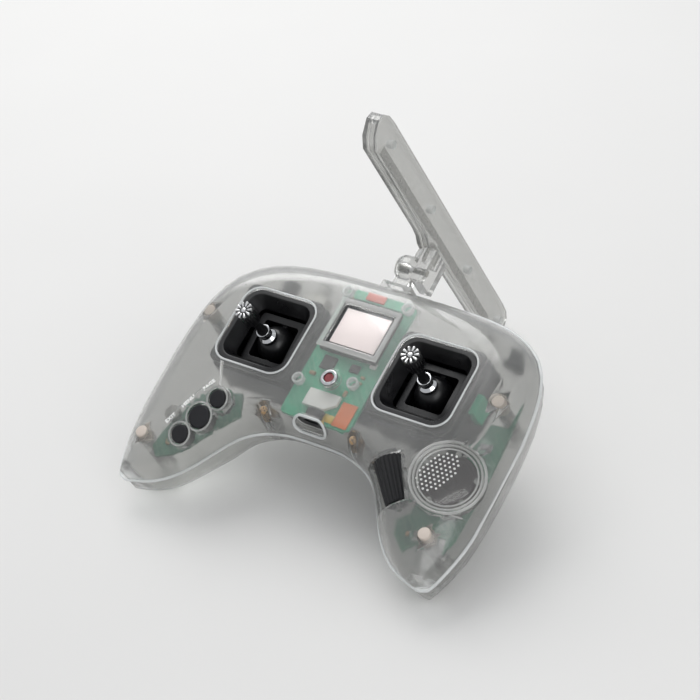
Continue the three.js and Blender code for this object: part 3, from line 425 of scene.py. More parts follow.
def mottled(tree, shader, base, factor, amount):
    """Lets the colour vary a little, as a real surface does."""
    dark, light = blend(tree, shader, factor)
    dark.default_value = (*(c * (1 - amount) for c in base), 1)
    light.default_value = (*(min(1, c * (1 + amount)) for c in base), 1)


def lamps_through(tree, shader, tint):
    """Lets the lamps light what is behind a clear wall, dimmed by its tint."""
    path = add(tree, "ShaderNodeLightPath")
    clear = add(tree, "ShaderNodeBsdfTransparent")
    clear.inputs["Color"].default_value = (*tint, 1)
    mix = add(
        tree, "ShaderNodeMixShader",
        [(0, path.outputs["Is Shadow Ray"]), (1, shader.outputs[0]), (2, clear.outputs[0])],
    )
    output = next(n for n in tree.nodes if n.type == "OUTPUT_MATERIAL")
    tree.links.new(mix.outputs[0], output.inputs["Surface"])


# ---- Materials ----------------------------------------------------------------------------------


def frosted_polycarbonate(name="frosted_polycarbonate", milk=0.09, roughness=0.15):
    """Polycarbonate from a bead-blasted mould: milky, blurs what is behind it, fine satin grain."""
    material, tree, shader = new_material(
        name, tuple(colours().shell), roughness, IOR=1.5, Transmission_Weight=1 - milk
    )
    soft = pattern(tree, 0.09, 3)
    uneven(tree, shader, soft, roughness * 0.8, roughness * 1.3)
    grain(tree, shader, pattern(tree, 2.6, 2), 0.006 * MM)
    lamps_through(tree, shader, (0.84, 0.85, 0.85))
    return material


def edge_painted_highlight():
    """The same plastic painted whiter and made glossier where a rounded lip catches light: a painted highlight."""
    base = tuple(colours().edge)
    material, tree, shader = new_material(
        "polycarbonate_edge_painted_highlight", base, 0.16, IOR=1.5, Transmission_Weight=0.5
    )
    soft = pattern(tree, 0.3, 2)
    uneven(tree, shader, soft, 0.12, 0.24)
    lamps_through(tree, shader, (0.8, 0.8, 0.8))
    return material


def window_acrylic():
    """Flat cast acrylic: polished and almost perfectly clear."""
    material, tree, shader = new_material(
        "polished_acrylic", linear("#F4F5F5"), 0.03, IOR=1.49, Transmission_Weight=1.0
    )
    soft = pattern(tree, 0.4, 2)
    uneven(tree, shader, soft, 0.02, 0.06)
    lamps_through(tree, shader, (0.94, 0.94, 0.94))
    return material


def satin_plastic(name, base, roughness=0.4, grit=3.0, relief=0.012):
    """Moulded plastic with the faint sparkle of a spark-eroded mould."""
    material, tree, shader = new_material(name, base, roughness)
    soft = pattern(tree, 0.12, 3)
    uneven(tree, shader, soft, roughness - 0.07, roughness + 0.08)
    mottled(tree, shader, base, soft, 0.12)
    grain(tree, shader, pattern(tree, grit, 2), relief * MM)
    return material


def moulded_rubber(name, base, roughness=0.62):
    """Silicone rubber with a dry matt skin and a little dust in its grain."""
    material, tree, shader = new_material(name, base, roughness, Specular_IOR_Level=0.35)
    soft = pattern(tree, 0.35, 4)
    uneven(tree, shader, soft, roughness - 0.08, roughness + 0.12)
    mottled(tree, shader, base, soft, 0.2)
    grain(tree, shader, pattern(tree, 4.0, 3), 0.03 * MM)
    return material


def bright_plating(name="bright_chrome_plating", roughness=0.1, base=None):
    """Chrome plating over turned metal: mirror bright with faint turning marks."""
    base = base or tuple(colours().plating)
    material, tree, shader = new_material(name, base, roughness, Metallic=1.0)
    soft = pattern(tree, 0.8, 3)
    uneven(tree, shader, soft, roughness * 0.6, roughness * 1.7)
    mottled(tree, shader, base, soft, 0.05)
    return material


def plain_steel(name="zinc_plated_steel", base=linear("#A9A8A4"), roughness=0.3):
    """Zinc-plated steel: grey, a little cloudy."""
    material, tree, shader = new_material(name, base, roughness, Metallic=1.0)
    soft = pattern(tree, 0.9, 4)
    uneven(tree, shader, soft, roughness - 0.1, roughness + 0.15)
    mottled(tree, shader, base, soft, 0.15)
    return material


def solder_mask(name, base):
    """Glass-epoxy board under green solder mask, with copper tracks showing as lighter lines."""
    lighter = tuple(c + (1 - c) * 0.16 for c in base)
    material, tree, shader = new_material(name, base, 0.35)
    where = add(tree, "ShaderNodeTexCoord")
    turned = add(tree, "ShaderNodeMapping", [("Vector", where.outputs["Object"])])
    turned.inputs["Rotation"].default_value = (0, 0, math.radians(45))
    # Tracks run about 2.4 mm apart; real ones are finer than the render can show.
    tracks = add(
        tree, "ShaderNodeTexBrick", [("Vector", turned.outputs[0])],
        Scale=1 / (9 * MM), Mortar_Size=0.012, Mortar_Smooth=0.1, Brick_Width=0.9, Row_Height=0.27,
    )
    tracks.inputs["Color1"].default_value = (*base, 1)
    tracks.inputs["Color2"].default_value = (*(c * 0.75 for c in base), 1)
    tracks.inputs["Mortar"].default_value = (*lighter, 1)
    soft = pattern(tree, 0.15, 3)
    first, second = blend(tree, shader, spread(tree, soft, 0.0, 0.35))
    tree.links.new(tracks.outputs["Color"], first)
    second.default_value = (*lighter, 1)
    return material


def lit_screen():
    """A backlit screen behind its glass: an even warm white, glowing a little."""
    base = tuple(colours().screen)
    material, tree, shader = new_material("backlit_screen", base, 0.35, Emission_Strength=0.06)
    shader.inputs["Emission Color"].default_value = (*base, 1)
    soft = pattern(tree, 0.05, 1)
    mottled(tree, shader, base, soft, 0.03)
    return material


def key_ink():
    """White screen-printed ink, slightly uneven."""
    base = linear("#F4F4F2")
    material, tree, shader = new_material("white_screen_print", base, 0.5)
    soft = pattern(tree, 1.2, 3)
    mottled(tree, shader, base, soft, 0.04)
    return material


MATERIALS = {}


def make_materials():
    """Makes each material once."""
    tints = colours()
    MATERIALS.update(
        shell=frosted_polycarbonate(),
        antenna=frosted_polycarbonate("satin_polycarbonate", milk=0.11, roughness=0.07),
        cover=frosted_polycarbonate("polished_polycarbonate", milk=0.04, roughness=0.05),
        # Painted highlight: the shell's plastic painted whiter where rounded lips catch light.
        edge=edge_painted_highlight(),
        lip=frosted_polycarbonate("satin_polycarbonate_lip", milk=0.3, roughness=0.2),
        window=window_acrylic(),
        black=satin_plastic("black_abs", tuple(tints.stick_modules), 0.32),
        knob=satin_plastic("black_anodised_aluminium", linear("#101012"), 0.3, 5.0, 0.02),
        keys=moulded_rubber("black_silicone_rubber", tuple(tints.keys)),
        roller=moulded_rubber("black_roller_rubber", linear("#1B1B1D"), 0.5),
        chrome=bright_plating(),
        crown=bright_plating("satin_chrome_crown", 0.2, linear("#E4E4E4")),
        steel=plain_steel(),
        brass=plain_steel("tarnished_brass", linear("#B79A78"), 0.28),
        board=solder_mask("green_solder_mask", tuple(tints.board)),
        grip_board=solder_mask("deep_green_solder_mask", tuple(tints.grip_board)),
        chip=satin_plastic("black_epoxy_chip", linear("#1A1B1C"), 0.5),
        ceramic=satin_plastic("tan_ceramic_chip", linear("#A88B63"), 0.4),
        screen=lit_screen(),
        pad=satin_plastic("white_silicone_pad", linear("#F6F5F1"), 0.5),
        cream=satin_plastic("cream_nylon", linear("#CDC1B6"), 0.45),
        amber=satin_plastic("amber_polyimide_film", linear("#F07A22"), 0.35),
        yellow=satin_plastic("yellow_polyimide_film", linear("#E6C23C"), 0.35),
        rust=satin_plastic("orange_lacquer", linear("#E0562C"), 0.4),
        red=satin_plastic("red_acrylic_cap", linear("#7E2A30"), 0.3),
        wrap=satin_plastic("grey_shrink_wrap", linear("#3D444B"), 0.35),
        driver=satin_plastic("grey_speaker_cone", linear("#4A4446"), 0.55),
        ink=key_ink(),
    )


def assign(material, *nodes):
    """Gives a material to nodes whose shape stays as it is."""
    for node in nodes:
        item = frame["nodes"][node]
        item.data.materials.clear()
        item.data.materials.append(MATERIALS[material])


# ---- Casing -------------------------------------------------------------------------------------

SEAM_Z = -18.5
OPENING = 40.0
OPENING_R = 8.0
SOCKET_SIZE = (16.5, 7.8)
SOCKET_Z = -6.3
FRAME_AT = (0.8, 14.2)
FRAME_SIZE = (33.2, 27.0)
FRAME_WIDE = 2.6

# Half of the casing's outline at the seam, from the middle of the back round the grip to the front.
OUTLINE = [
    (9.5, 46), (26, 46), (48, 45), (66, 41.5), (80.5, 32.5), (88.8, 17.5), (92.4, -3), (93.6, -25),
    (93.6, -45), (92.2, -62), (89, -75.5), (86, -83.6), (83.5, -85.6), (79.5, -86), (67.8, -82.4),
    (59.2, -76.8), (53, -70.2), (49, -64.8), (46.2, -60.5), (43.7, -57), (40.5, -52.5),
    (35.5, -47.3), (27, -42.5), (15, -39.5), (0, -39),
]


def smooth_path(points, steps=6):
    """More points along a smooth curve through the given ones."""
    path = []
    ends = [points[0], *points, points[-1]]
    for i in range(1, len(ends) - 2):
        p0, p1, p2, p3 = (Vector(ends[k]) for k in (i - 1, i, i + 1, i + 2))
        for k in range(steps):
            t = k / steps
            path.append(0.5 * (
                2 * p1 + (p2 - p0) * t + (2 * p0 - 5 * p1 + 4 * p2 - p3) * t * t
                + (3 * p1 - p0 - 3 * p2 + p3) * t ** 3
            ))
    path.append(Vector(points[-1]))
    return path


def on_shell(start, direction=(0, 0, -1)):
    """The point and the normal where a ray meets the upper shell, all in the casing's frame."""
    shell = bpy.data.objects["top_shell_moulding"]
    ray = CASE @ (Vector(start) * MM), CASE.to_3x3() @ Vector(direction)
    hit, point, normal = shell.ray_cast(*ray)[:3]
    if not hit:
        raise RuntimeError(f"no shell on the way from {start}")
    back = CASE.inverted()
    return back @ point, (back.to_3x3() @ normal).normalized()


def seam_bead():
    """The rounded lip that runs along the seam on the upper half, no wider than the casing."""
    widest = CAD_BOX[1][0] - sizes().bead
    right = smooth_path([Vector((x, y)) for x, y in OUTLINE])
    right = [Vector((min(p.x * MM, widest), p.y * MM, (SEAM_Z + 0.75) * MM)) for p in right]
    left = [Vector((-p.x, p.y, p.z)) for p in reversed(right[:-1])]
    return tube(right + left, sizes().bead)


def opening_lips():
    """A rounded lip round each stick opening."""
    lips = []
    for sx in SIDES.values():
        outline = rounded_square(OPENING + 0.9, OPENING + 0.9, OPENING_R + 0.45)
        points = [Vector((x + sx * STICK_X, y, -0.12)) * MM for x, y in outline]
        lips.append(tube(points, sizes().lip / 2, cyclic=True))
    return merge(lips)


def socket_lip():
    """The thick rim round the front socket."""
    width, height = SOCKET_SIZE
    outline = rounded_square(width + 0.9, height + 0.9, height / 2 + 0.4)
    points = [on_shell((x, -70, SOCKET_Z + z), (0, 1, 0))[0] for x, z in outline]
    return tube(points, 0.7 * MM, cyclic=True)


def display_frame():
    """The raised clear frame round the display window."""
    (cx, cy), (width, depth) = FRAME_AT, FRAME_SIZE
    low, high = (cx - width / 2, cy - depth / 2, -0.4), (cx + width / 2, cy + depth / 2, 0.4)
    frame_ring = block(low, high, 0)
    inner = block(
        (low[0] + FRAME_WIDE, low[1] + FRAME_WIDE, -2),
        (high[0] - FRAME_WIDE, high[1] - FRAME_WIDE, 2), 0,
    )
    cut_away(frame_ring, inner)
    round_edges(frame_ring, 0.3 * MM, 3)
    return frame_ring


class TRANSMITTER_OT_casing(Operator):
    """Makes the two halves of the casing, the battery cover and their lips"""

    bl_idname = "transmitter.casing"
    bl_label = "Casing"

    def execute(self, context):
        for node in ("top_shell", "bottom_shell", "battery_cover"):
            moulded(node, f"{node}_moulding", MATERIALS["shell"], edge=0, smooth=42)
        context.view_layer.update()
        # The bead and lips take the edge material, painted whiter as a highlight.
        for name, piece in (
            ("seam_bead", seam_bead()),
            ("opening_lips", opening_lips()),
            ("socket_lip", socket_lip()),
        ):
            settle(piece, name, "casing", MATERIALS["edge"])
        settle(display_frame(), "display_frame", "casing", MATERIALS["lip"])
        return {"FINISHED"}


# ---- Sticks -------------------------------------------------------------------------------------

KNOB_R = 4.3
KNOB_LOW, KNOB_HIGH = 10.0, 20.6
STICK_TOP = 22.0
BLACK_STICK_NODES = ("stick_bezel", "gimbal_frame", "outer_yoke", "stick_carrier", "stick_shaft")


def knob(x):
    """The black knurled barrel of a stick's end."""
    piece = cylinder(KNOB_R - 0.15, KNOB_LOW, KNOB_HIGH, (x, 0), 40)
    mesh = bmesh.new()
    mesh.from_mesh(piece.data)
    for corner in mesh.verts:
        if corner.co.z < (KNOB_LOW + 0.1) * MM:
            corner.co.x = x * MM + (corner.co.x - x * MM) * 0.72
            corner.co.y *= 0.72
    mesh.to_mesh(piece.data)
    mesh.free()
    round_edges(piece, 0.4 * MM, 3)
    ribs = []
    for i in range(20):
        angle = i / 20 * 2 * math.pi
        rib = block((KNOB_R - 0.5, -0.28, KNOB_LOW + 2.2), (KNOB_R, 0.28, KNOB_HIGH - 1.0), 0.12)
        rib.data.transform(Matrix.Translation((x * MM, 0, 0)) @ Matrix.Rotation(angle, 4, "Z"))
        ribs.append(rib)
    return merge([piece, *ribs])


def crown(x):
    """The bright toothed crown on top of a stick's end."""
    parts = [cylinder(1.25, KNOB_HIGH - 0.2, STICK_TOP - 0.25, (x, 0), 20)]
    round_edges(parts[0], 0.3 * MM, 2)
    count = sizes().petals
    for i in range(count):
        angle = (i + 0.5) / count * 2 * math.pi
        petal = block((1.75, -0.62, KNOB_HIGH - 0.3), (KNOB_R - 0.05, 0.62, STICK_TOP), 0)
        for corner in petal.data.vertices:
            if corner.co.x < 2 * MM:
                corner.co.y *= 0.55
                corner.co.z -= 0.25 * MM if corner.co.z > 21 * MM else 0
        round_edges(petal, 0.26 * MM, 3)
        petal.data.transform(Matrix.Translation((x * MM, 0, 0)) @ Matrix.Rotation(angle, 4, "Z"))
        parts.append(petal)
    return merge(parts)


class TRANSMITTER_OT_sticks(Operator):
    """Makes both stick modules with their wells, domes, collars and toothed ends"""

    bl_idname = "transmitter.sticks"
    bl_label = "Sticks"

    def execute(self, context):
        for side, sx in SIDES.items():
            for node in BLACK_STICK_NODES:
                moulded(f"{side}_{node}", f"{side}_{node}_fine", MATERIALS["black"], edge=0.3)
            moulded(f"{side}_stick_collar", f"{side}_collar_turned", MATERIALS["chrome"], edge=0.25,
                    smooth=50)
            body = f"{side}_stick"
            place = CASE @ LEFT_LEAN if side == "left" else CASE
            end = settle(knob(sx * STICK_X), f"{side}_knob", body, MATERIALS["knob"], place)
            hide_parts(f"{side}_stick_end")
            settle(crown(sx * STICK_X), f"{side}_crown", body, MATERIALS["crown"], place)
        assign("board", "left_hall_sensor", "right_hall_sensor")
        return {"FINISHED"}


# ---- Display and boards -------------------------------------------------------------------------

SCREEN_SIZE = (24.2, 18.75)
SCREEN_AT = (0.8, 14.2)
BOARD_Z = -7.0

# Packages on the boards: centre x and y, the board's top, width, depth, height and finish.
PACKAGES = [
    (-8, -4, BOARD_Z, 7, 7, 1.2, "chip"), (6, -3, BOARD_Z, 5, 4, 1.0, "chip"),
    (12, -6, BOARD_Z, 2, 1.2, 1.0, "ceramic"), (12, -9, BOARD_Z, 2, 1.2, 1.0, "ceramic"),
    (-13, -11, BOARD_Z, 3, 1.6, 1.2, "ceramic"), (14, 1, BOARD_Z, 3, 3, 1.4, "pad"),
    (-14, 31, BOARD_Z, 2.4, 1.4, 1.2, "ceramic"), (8, -16, BOARD_Z, 1.6, 3, 1.0, "ceramic"),
    (-60, -58, -11, 4, 4, 1.0, "chip"), (-66, -64, -11, 2.5, 1.4, 1.0, "ceramic"),
    (-52, -44, -11, 3, 2, 1.2, "pad"), (78, -16, -16.2, 5, 5, 1.2, "chip"),
    (79, -50, -16.2, 4, 3, 1.2, "chip"), (80, 2, -16.2, 2.5, 1.4, 1.0, "ceramic"),
    (66, -65, -16.2, 3, 2, 1.0, "ceramic"),
]
BOARD_SCREWS = [(-16.4, -17.0), (10.5, -11.2), (-16.5, 32), (16.5, 32)]
RADIO_SHIELD = (-6, 30.6, -4.1), (4, 34.6, -3.0)  # two corners of each box
YELLOW_FILM = (3.4, -31.5, BOARD_Z + 0.05), (9.0, -27.8, BOARD_Z + 0.3)
SCREEN_BACK, SCREEN_FRONT = -2.55, -2.1


def packages(finish):
    """All the packages of one finish."""
    parts = []
    for x, y, z, width, depth, height, kind in PACKAGES:
        if kind == finish:
            low = (x - width / 2, y - depth / 2, z + 0.02)
            parts.append(block(low, (x + width / 2, y + depth / 2, z + height), 0.18))
    return merge(parts)


def board_screw(x, y):
    """A small pan-head screw with a cross recess, standing on the main board."""
    head = cylinder(1.7, BOARD_Z + 0.02, BOARD_Z + 1.3, (x, y), 24)
    round_edges(head, 0.35 * MM, 3)
    slots = [
        block((x - 1.1, y - 0.22, BOARD_Z + 0.9), (x + 1.1, y + 0.22, BOARD_Z + 2), 0),
        block((x - 0.22, y - 1.1, BOARD_Z + 0.9), (x + 0.22, y + 1.1, BOARD_Z + 2), 0),
    ]
    for slot in slots:
        cut_away(head, slot)
    return head


def board_post(x, y):
    """The clear boss over a board screw, which reaches down from the shell."""
    ring = cylinder(2.9, BOARD_Z + 1.6, -2.4, (x, y), 28)
    bore = cylinder(1.9, BOARD_Z, 0, (x, y), 28)
    cut_away(ring, bore)
    round_edges(ring, 0.25 * MM)
    return ring


class TRANSMITTER_OT_display(Operator):
    """Makes the display's window, its lit screen and its black border"""

    bl_idname = "transmitter.display"
    bl_label = "Display"

    def execute(self, context):
        moulded("display_window", "display_window_polished", MATERIALS["window"], edge=0.3)
        assign("black", "display_module")
        width, depth = SCREEN_SIZE
        screen = block(
            (SCREEN_AT[0] - width / 2, SCREEN_AT[1] - depth / 2, SCREEN_BACK),
            (SCREEN_AT[0] + width / 2, SCREEN_AT[1] + depth / 2, SCREEN_FRONT), 0.1,
        )
        settle(screen, "screen_panel", "casing", MATERIALS["screen"])
        return {"FINISHED"}


class TRANSMITTER_OT_boards(Operator):
    """Makes the circuit boards' finish and what stands on them"""

    bl_idname = "transmitter.boards"
    bl_label = "Boards"

    def execute(self, context):
        assign("board", "main_board", "radio_module")
        assign("grip_board", "left_grip_board", "right_grip_board")
        assign("amber", "flex_cable")
        assign("wrap", "battery_pack")
        moulded("keypad", "white_pad", MATERIALS["pad"], edge=0.5, segments=3)
        moulded("haptic_motor", "vibration_motor", MATERIALS["steel"], edge=0.4)
        moulded("socket_connector", "connector_shell", MATERIALS["black"], edge=0.2)
        for finish in ("chip", "ceramic", "pad"):
            settle(packages(finish), f"packages_{finish}", "casing", MATERIALS[finish])
        screws = merge([board_screw(x, y) for x, y in BOARD_SCREWS])
        settle(screws, "board_screws", "casing", MATERIALS["steel"])
        posts = merge([board_post(x, y) for x, y in BOARD_SCREWS])
        # The posts take the edge material, painted whiter as a highlight.
        settle(posts, "board_posts", "casing", MATERIALS["edge"])
        settle(block(*RADIO_SHIELD, 0.3), "radio_shield", "casing", MATERIALS["rust"])
        settle(block(*YELLOW_FILM, 0.08), "yellow_film", "casing", MATERIALS["yellow"])
        return {"FINISHED"}


# ---- Keys ---------------------------------------------------------------------------------------

# Each word with the middle of its place in the casing's frame, in millimetres.
WORDS = {"EXIT": (-66.0, -55.9), "MENU": (-61.5, -45.7), "PAGE": (-55.6, -35.0)}
# The ridge that winds between the words and the keys, and the step below the speaker.
RIDGE = [
    (-65.0, -57.6), (-64.6, -54.0), (-65.0, -50.3), (-63.9, -48.3), (-61.0, -48.2), (-58.9, -47.3),
    (-58.9, -44.9), (-59.8, -41.5), (-58.5, -38.1), (-56.2, -37.6), (-54.3, -34.4),
]
GRIP_STEP = [
    (67.4, -54.4), (70.2, -55.0), (73.7, -55.6), (78.9, -55.4), (84.4, -53.8), (88.0, -52.2),
]
WORD_TURN = 64.5  # the words follow the row of keys


def printed_word(text, x, y):
    """A printed word lying on the shell, reading along the row of keys."""
    curve = bpy.data.curves.new(text, "FONT")
    curve.body = text
    curve.size = sizes().letters * 1.38
    curve.align_x = "CENTER"
    curve.align_y = "CENTER"
    curve.offset = 0.11 * MM
    curve.extrude = 0.03 * MM
    curve.space_character = 1.08
    only(placed(text, curve))
    bpy.ops.object.convert(target="MESH")
    piece = bpy.context.object
    point, normal = on_shell((x, y, 30))
    flat = Vector((0, 0, 1)).rotation_difference(normal).to_matrix().to_4x4()
    spin = Matrix.Rotation(math.radians(WORD_TURN), 4, "Z")
    piece.data.transform(Matrix.Translation(point + normal * 0.05 * MM) @ flat @ spin)
    return piece


# Each key's place, radius and level, as it faces the user.
KEYS = {
    "exit": (-57, -61.8, 4.4, -1.6),
    "menu": (-51, -51.5, 5.6, 0.6),
    "page": (-46.5, -40.8, 4.3, 1.6),
}
KEY_TILT = math.radians(20)
COLLAR_GAP = 0.5
COLLAR_WALL = 1.3


def collar_rims():
    """The bright rounded rim of the collar round each key."""
    rims = []
    for x, y, radius, level in KEYS.values():
        reach = radius + COLLAR_GAP + COLLAR_WALL / 2
        rim = tube(ring(reach, level, 48, (x, y)), COLLAR_WALL / 3 * MM, cyclic=True)
        rim.data.transform(about((x, y, level), Matrix.Rotation(KEY_TILT, 4, "X")))
        rims.append(rim)
    return merge(rims)


def ridge(points, radius):
    """A low rounded ridge that lies on the shell along the given points."""
    path = smooth_path([Vector(p) for p in points], 5)
    return tube([on_shell((p.x, p.y, 30))[0] for p in path], radius * MM)


class TRANSMITTER_OT_keys(Operator):
    """Makes the three rubber keys and prints their words"""

    bl_idname = "transmitter.keys"
    bl_label = "Keys"

    def execute(self, context):
        for name in ("exit", "menu", "page"):
            moulded(f"{name}_button", f"{name}_key_cap", MATERIALS["keys"], edge=0.35, segments=3)
        settle(collar_rims(), "key_collar_rims", "casing", MATERIALS["lip"])
        settle(ridge(RIDGE, 0.3), "key_ridge", "casing", MATERIALS["lip"])
        settle(ridge(GRIP_STEP, 0.45), "grip_step", "casing", MATERIALS["lip"])
        for text, (x, y) in WORDS.items():
            settle(printed_word(text, x, y), f"word_{text.lower()}", "casing", MATERIALS["ink"])
        return {"FINISHED"}


class TRANSMITTER_OT_power_key(Operator):
    """Makes the power key and its bright ring"""

    bl_idname = "transmitter.power_key"
    bl_label = "Power key"

    def execute(self, context):
        moulded("power_ring", "power_ring_turned", MATERIALS["chrome"], edge=0.15)
        moulded("power_button", "power_cap", MATERIALS["red"], edge=0.3, segments=3)
        return {"FINISHED"}


# ---- Roller -------------------------------------------------------------------------------------


class TRANSMITTER_OT_roller(Operator):
    """Makes the ridged roller on the right grip"""

    bl_idname = "transmitter.roller"
    bl_label = "Roller"

    def execute(self, context):
        moulded("roller_wheel", "roller_ridged", MATERIALS["roller"], edge=0.18, smooth=30)
        assign("steel", "roller_axle")
        assign("black", "roller_encoder")
        return {"FINISHED"}


# ---- Speaker ------------------------------------------------------------------------------------

SPEAKER_AT = Vector((75.8, -39, -3.1))
SPEAKER_LEAN = math.radians(14)
COVER_R = 15.4
HOLE_PITCH = 2.15
HOLE_PATCH = (10.8, 6.6)  # half length and half width of the patch of holes
HOLE_PATCH_AT = (-5.2, 0.5)
HOLE_PATCH_TURN = math.radians(66.5)
COVER_RINGS = ((13.3, 0.0, 0.45), (15.0, 0.1, 0.6), (16.6, 0.4, 0.7))  # radius, height, thickness
LIGHT_POSTS = (95, 20, -35, -105, 165)  # where they stand round the cover, in degrees
LIGHT_POST_REACH = 12.2

# Half of the driver's section, as radius and height, from the dust cap round to the back.
CONE_PROFILE = [
    (0, -5.2), (1.5, -5.25), (2.8, -5.6), (3.2, -6.0), (6.2, -5.2), (8.6, -4.6), (9.2, -4.3),
    (9.9, -4.1), (10.6, -4.3), (11.1, -4.6), (12.0, -4.5), (12.4, -4.5), (12.6, -5.0),
    (12.6, -8.3), (0, -8.3),
]


def speaker_frame():
    """The matrix from the leaning speaker cover's own frame to the casing's, in metres."""
    return Matrix.Translation(SPEAKER_AT * MM) @ Matrix.Rotation(SPEAKER_LEAN, 4, "Y")


def hole_places():
    """Where the holes are: a staggered grid inside an oval patch."""
    places = []
    for row in range(-4, 5):
        for column in range(-7, 8):
            u = (column + (row % 2) / 2) * HOLE_PITCH
            v = row * HOLE_PITCH * math.sqrt(3) / 2
            if (u / HOLE_PATCH[0]) ** 2 + (v / HOLE_PATCH[1]) ** 2 <= 1:
                c, s = math.cos(HOLE_PATCH_TURN), math.sin(HOLE_PATCH_TURN)
                places.append((HOLE_PATCH_AT[0] + u * c - v * s, HOLE_PATCH_AT[1] + u * s + v * c))
    return places


def speaker_cover():
    """The clear disc, drilled through in its patch of holes."""
    disc = cylinder(COVER_R, -1.8, 0.1, facets=72)
    round_edges(disc, 0.3 * MM, 2)
    radius = sizes().hole / MM
    drills = merge([cylinder(radius, -3, 1, place, 10) for place in hole_places()])
    cut_away(disc, drills)
    only(disc)
    bpy.ops.object.shade_smooth_by_angle(angle=math.radians(35))
    return disc


def hole_painted_highlights():
    """White rings painted round the edge of each hole: a painted highlight."""
    rims = []
    for x, y in hole_places():
        bpy.ops.object.select_all(action="DESELECT")
        bpy.ops.mesh.primitive_torus_add(
            major_radius=sizes().hole + 0.1 * MM, minor_radius=0.17 * MM,
            major_segments=12, minor_segments=6, location=(x * MM, y * MM, 0.08 * MM),
        )
        bpy.ops.object.shade_smooth()
        rims.append(bpy.context.object)
    return merge(rims)


def cover_rings():
    """Raised rings at the cover's edge and the light posts under it."""
    rings = []
    for radius, height, thick in COVER_RINGS:
        rings.append(tube(ring(radius, height, 72), thick * MM, cyclic=True))
    for angle in map(math.radians, LIGHT_POSTS):
        place = (LIGHT_POST_REACH * math.cos(angle), LIGHT_POST_REACH * math.sin(angle))
        post = cylinder(1.3, -3.6, -1.9, place, 20)
        round_edges(post, 0.25 * MM)
        rings.append(post)
    return merge(rings)


def speaker_cone():
    """The driver's cone with its surround and dust cap."""
    mesh = bpy.data.meshes.new("cone")
    corners = [(r * MM, 0, z * MM) for r, z in CONE_PROFILE]
    mesh.from_pydata(corners, [(i, i + 1) for i in range(len(corners) - 1)], [])
    cone = placed("cone", mesh)
    only(cone)
    bpy.ops.object.mode_set(mode="EDIT")
    bpy.ops.mesh.select_all(action="SELECT")
    bpy.ops.mesh.spin(steps=48, angle=2 * math.pi, center=(0, 0, 0), axis=(0, 0, 1))
    bpy.ops.mesh.select_all(action="SELECT")
    bpy.ops.mesh.remove_doubles(threshold=1e-6)
    bpy.ops.mesh.normals_make_consistent(inside=False)
    bpy.ops.object.mode_set(mode="OBJECT")
    bpy.ops.object.shade_smooth_by_angle(angle=math.radians(40))
    return cone


class TRANSMITTER_OT_speaker(Operator):
    """Makes the speaker's drilled cover, its rings and the driver below"""

    bl_idname = "transmitter.speaker"
    bl_label = "Speaker"

    def execute(self, context):
        place = CASE @ speaker_frame()
        cover = settle(speaker_cover(), "speaker_cover", "casing", MATERIALS["cover"], place)
        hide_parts("speaker_grille")
        # Painted highlight: white ink rings stand for the light on each hole's edge.
        settle(hole_painted_highlights(), "speaker_hole_painted_highlights", "casing", MATERIALS["ink"], place)
        settle(cover_rings(), "speaker_rings", "casing", MATERIALS["lip"], place)
        cone = settle(speaker_cone(), "speaker_cone", "casing", MATERIALS["driver"], place)
        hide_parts("speaker_driver")
        return {"FINISHED"}


# ---- Rear controls, fasteners and antenna -------------------------------------------------------

SCREW_PLACES = {"front": (24.8, -36.3), "shoulder": (79.5, 2), "grip": (78, -66)}
INSERT_R = {"front": 2.1, "shoulder": 2.9, "grip": 2.9}
INSERT_LOW, INSERT_HIGH = -11.0, -3.6


class TRANSMITTER_OT_rear_controls(Operator):
    """Makes the toggles and shoulder keys on the back"""

    bl_idname = "transmitter.rear_controls"
    bl_label = "Rear controls"

    def execute(self, context):
        for side in SIDES:
            moulded(f"{side}_toggle_base", f"{side}_toggle_bush", MATERIALS["steel"], edge=0.2)
            moulded(f"{side}_toggle_lever", f"{side}_toggle_bat", MATERIALS["chrome"], edge=0.25)
            moulded(f"{side}_shoulder_button", f"{side}_shoulder_cap", MATERIALS["keys"], edge=0.5,
                    segments=3)
        return {"FINISHED"}


class TRANSMITTER_OT_fasteners(Operator):
    """Makes the casing screws and the inserts moulded into their posts"""

    bl_idname = "transmitter.fasteners"
    bl_label = "Fasteners"

    def execute(self, context):
        inserts = {"brass": [], "cream": []}
        for side, sx in SIDES.items():
            for place, (x, y) in SCREW_PLACES.items():
                name = f"{side}_{place}"
                moulded(f"{name}_screw", f"{name}_bolt", MATERIALS["steel"], edge=0.2)
                finish = "brass" if place == "front" else "cream"
                insert = cylinder(INSERT_R[place], INSERT_LOW, INSERT_HIGH, (sx * x, y), 28)
                round_edges(insert, 0.5 * MM, 3)
                inserts[finish].append(insert)
        for finish, parts in inserts.items():
            settle(merge(parts), f"post_inserts_{finish}", "casing", MATERIALS[finish])
        return {"FINISHED"}


# White pieces round the pegs that join the T's halves, painted in as the glints at the pegs, in the casing's frame
# while the T is upright.
PEG_GLINT_R = 2.1
PEG_GLINT_HALF = 1.7
PEG_GLINT_Y = 85.5
PEG_GLINT_LEVELS = (51.5, -3.5, -59.5, -110.5)


def painted_peg_glints():
    """White pieces round the pegs inside the T, painted in as the glints there: painted highlights."""
    glints = []
    for level in PEG_GLINT_LEVELS:
        glint = cylinder(PEG_GLINT_R, -PEG_GLINT_HALF, PEG_GLINT_HALF, facets=24)
        round_edges(glint, 0.3 * MM)
        across = Matrix.Rotation(math.pi / 2, 4, "Y")
        glint.data.transform(Matrix.Translation(Vector((0, PEG_GLINT_Y, level)) * MM) @ across)
        glints.append(glint)
    return merge(glints)


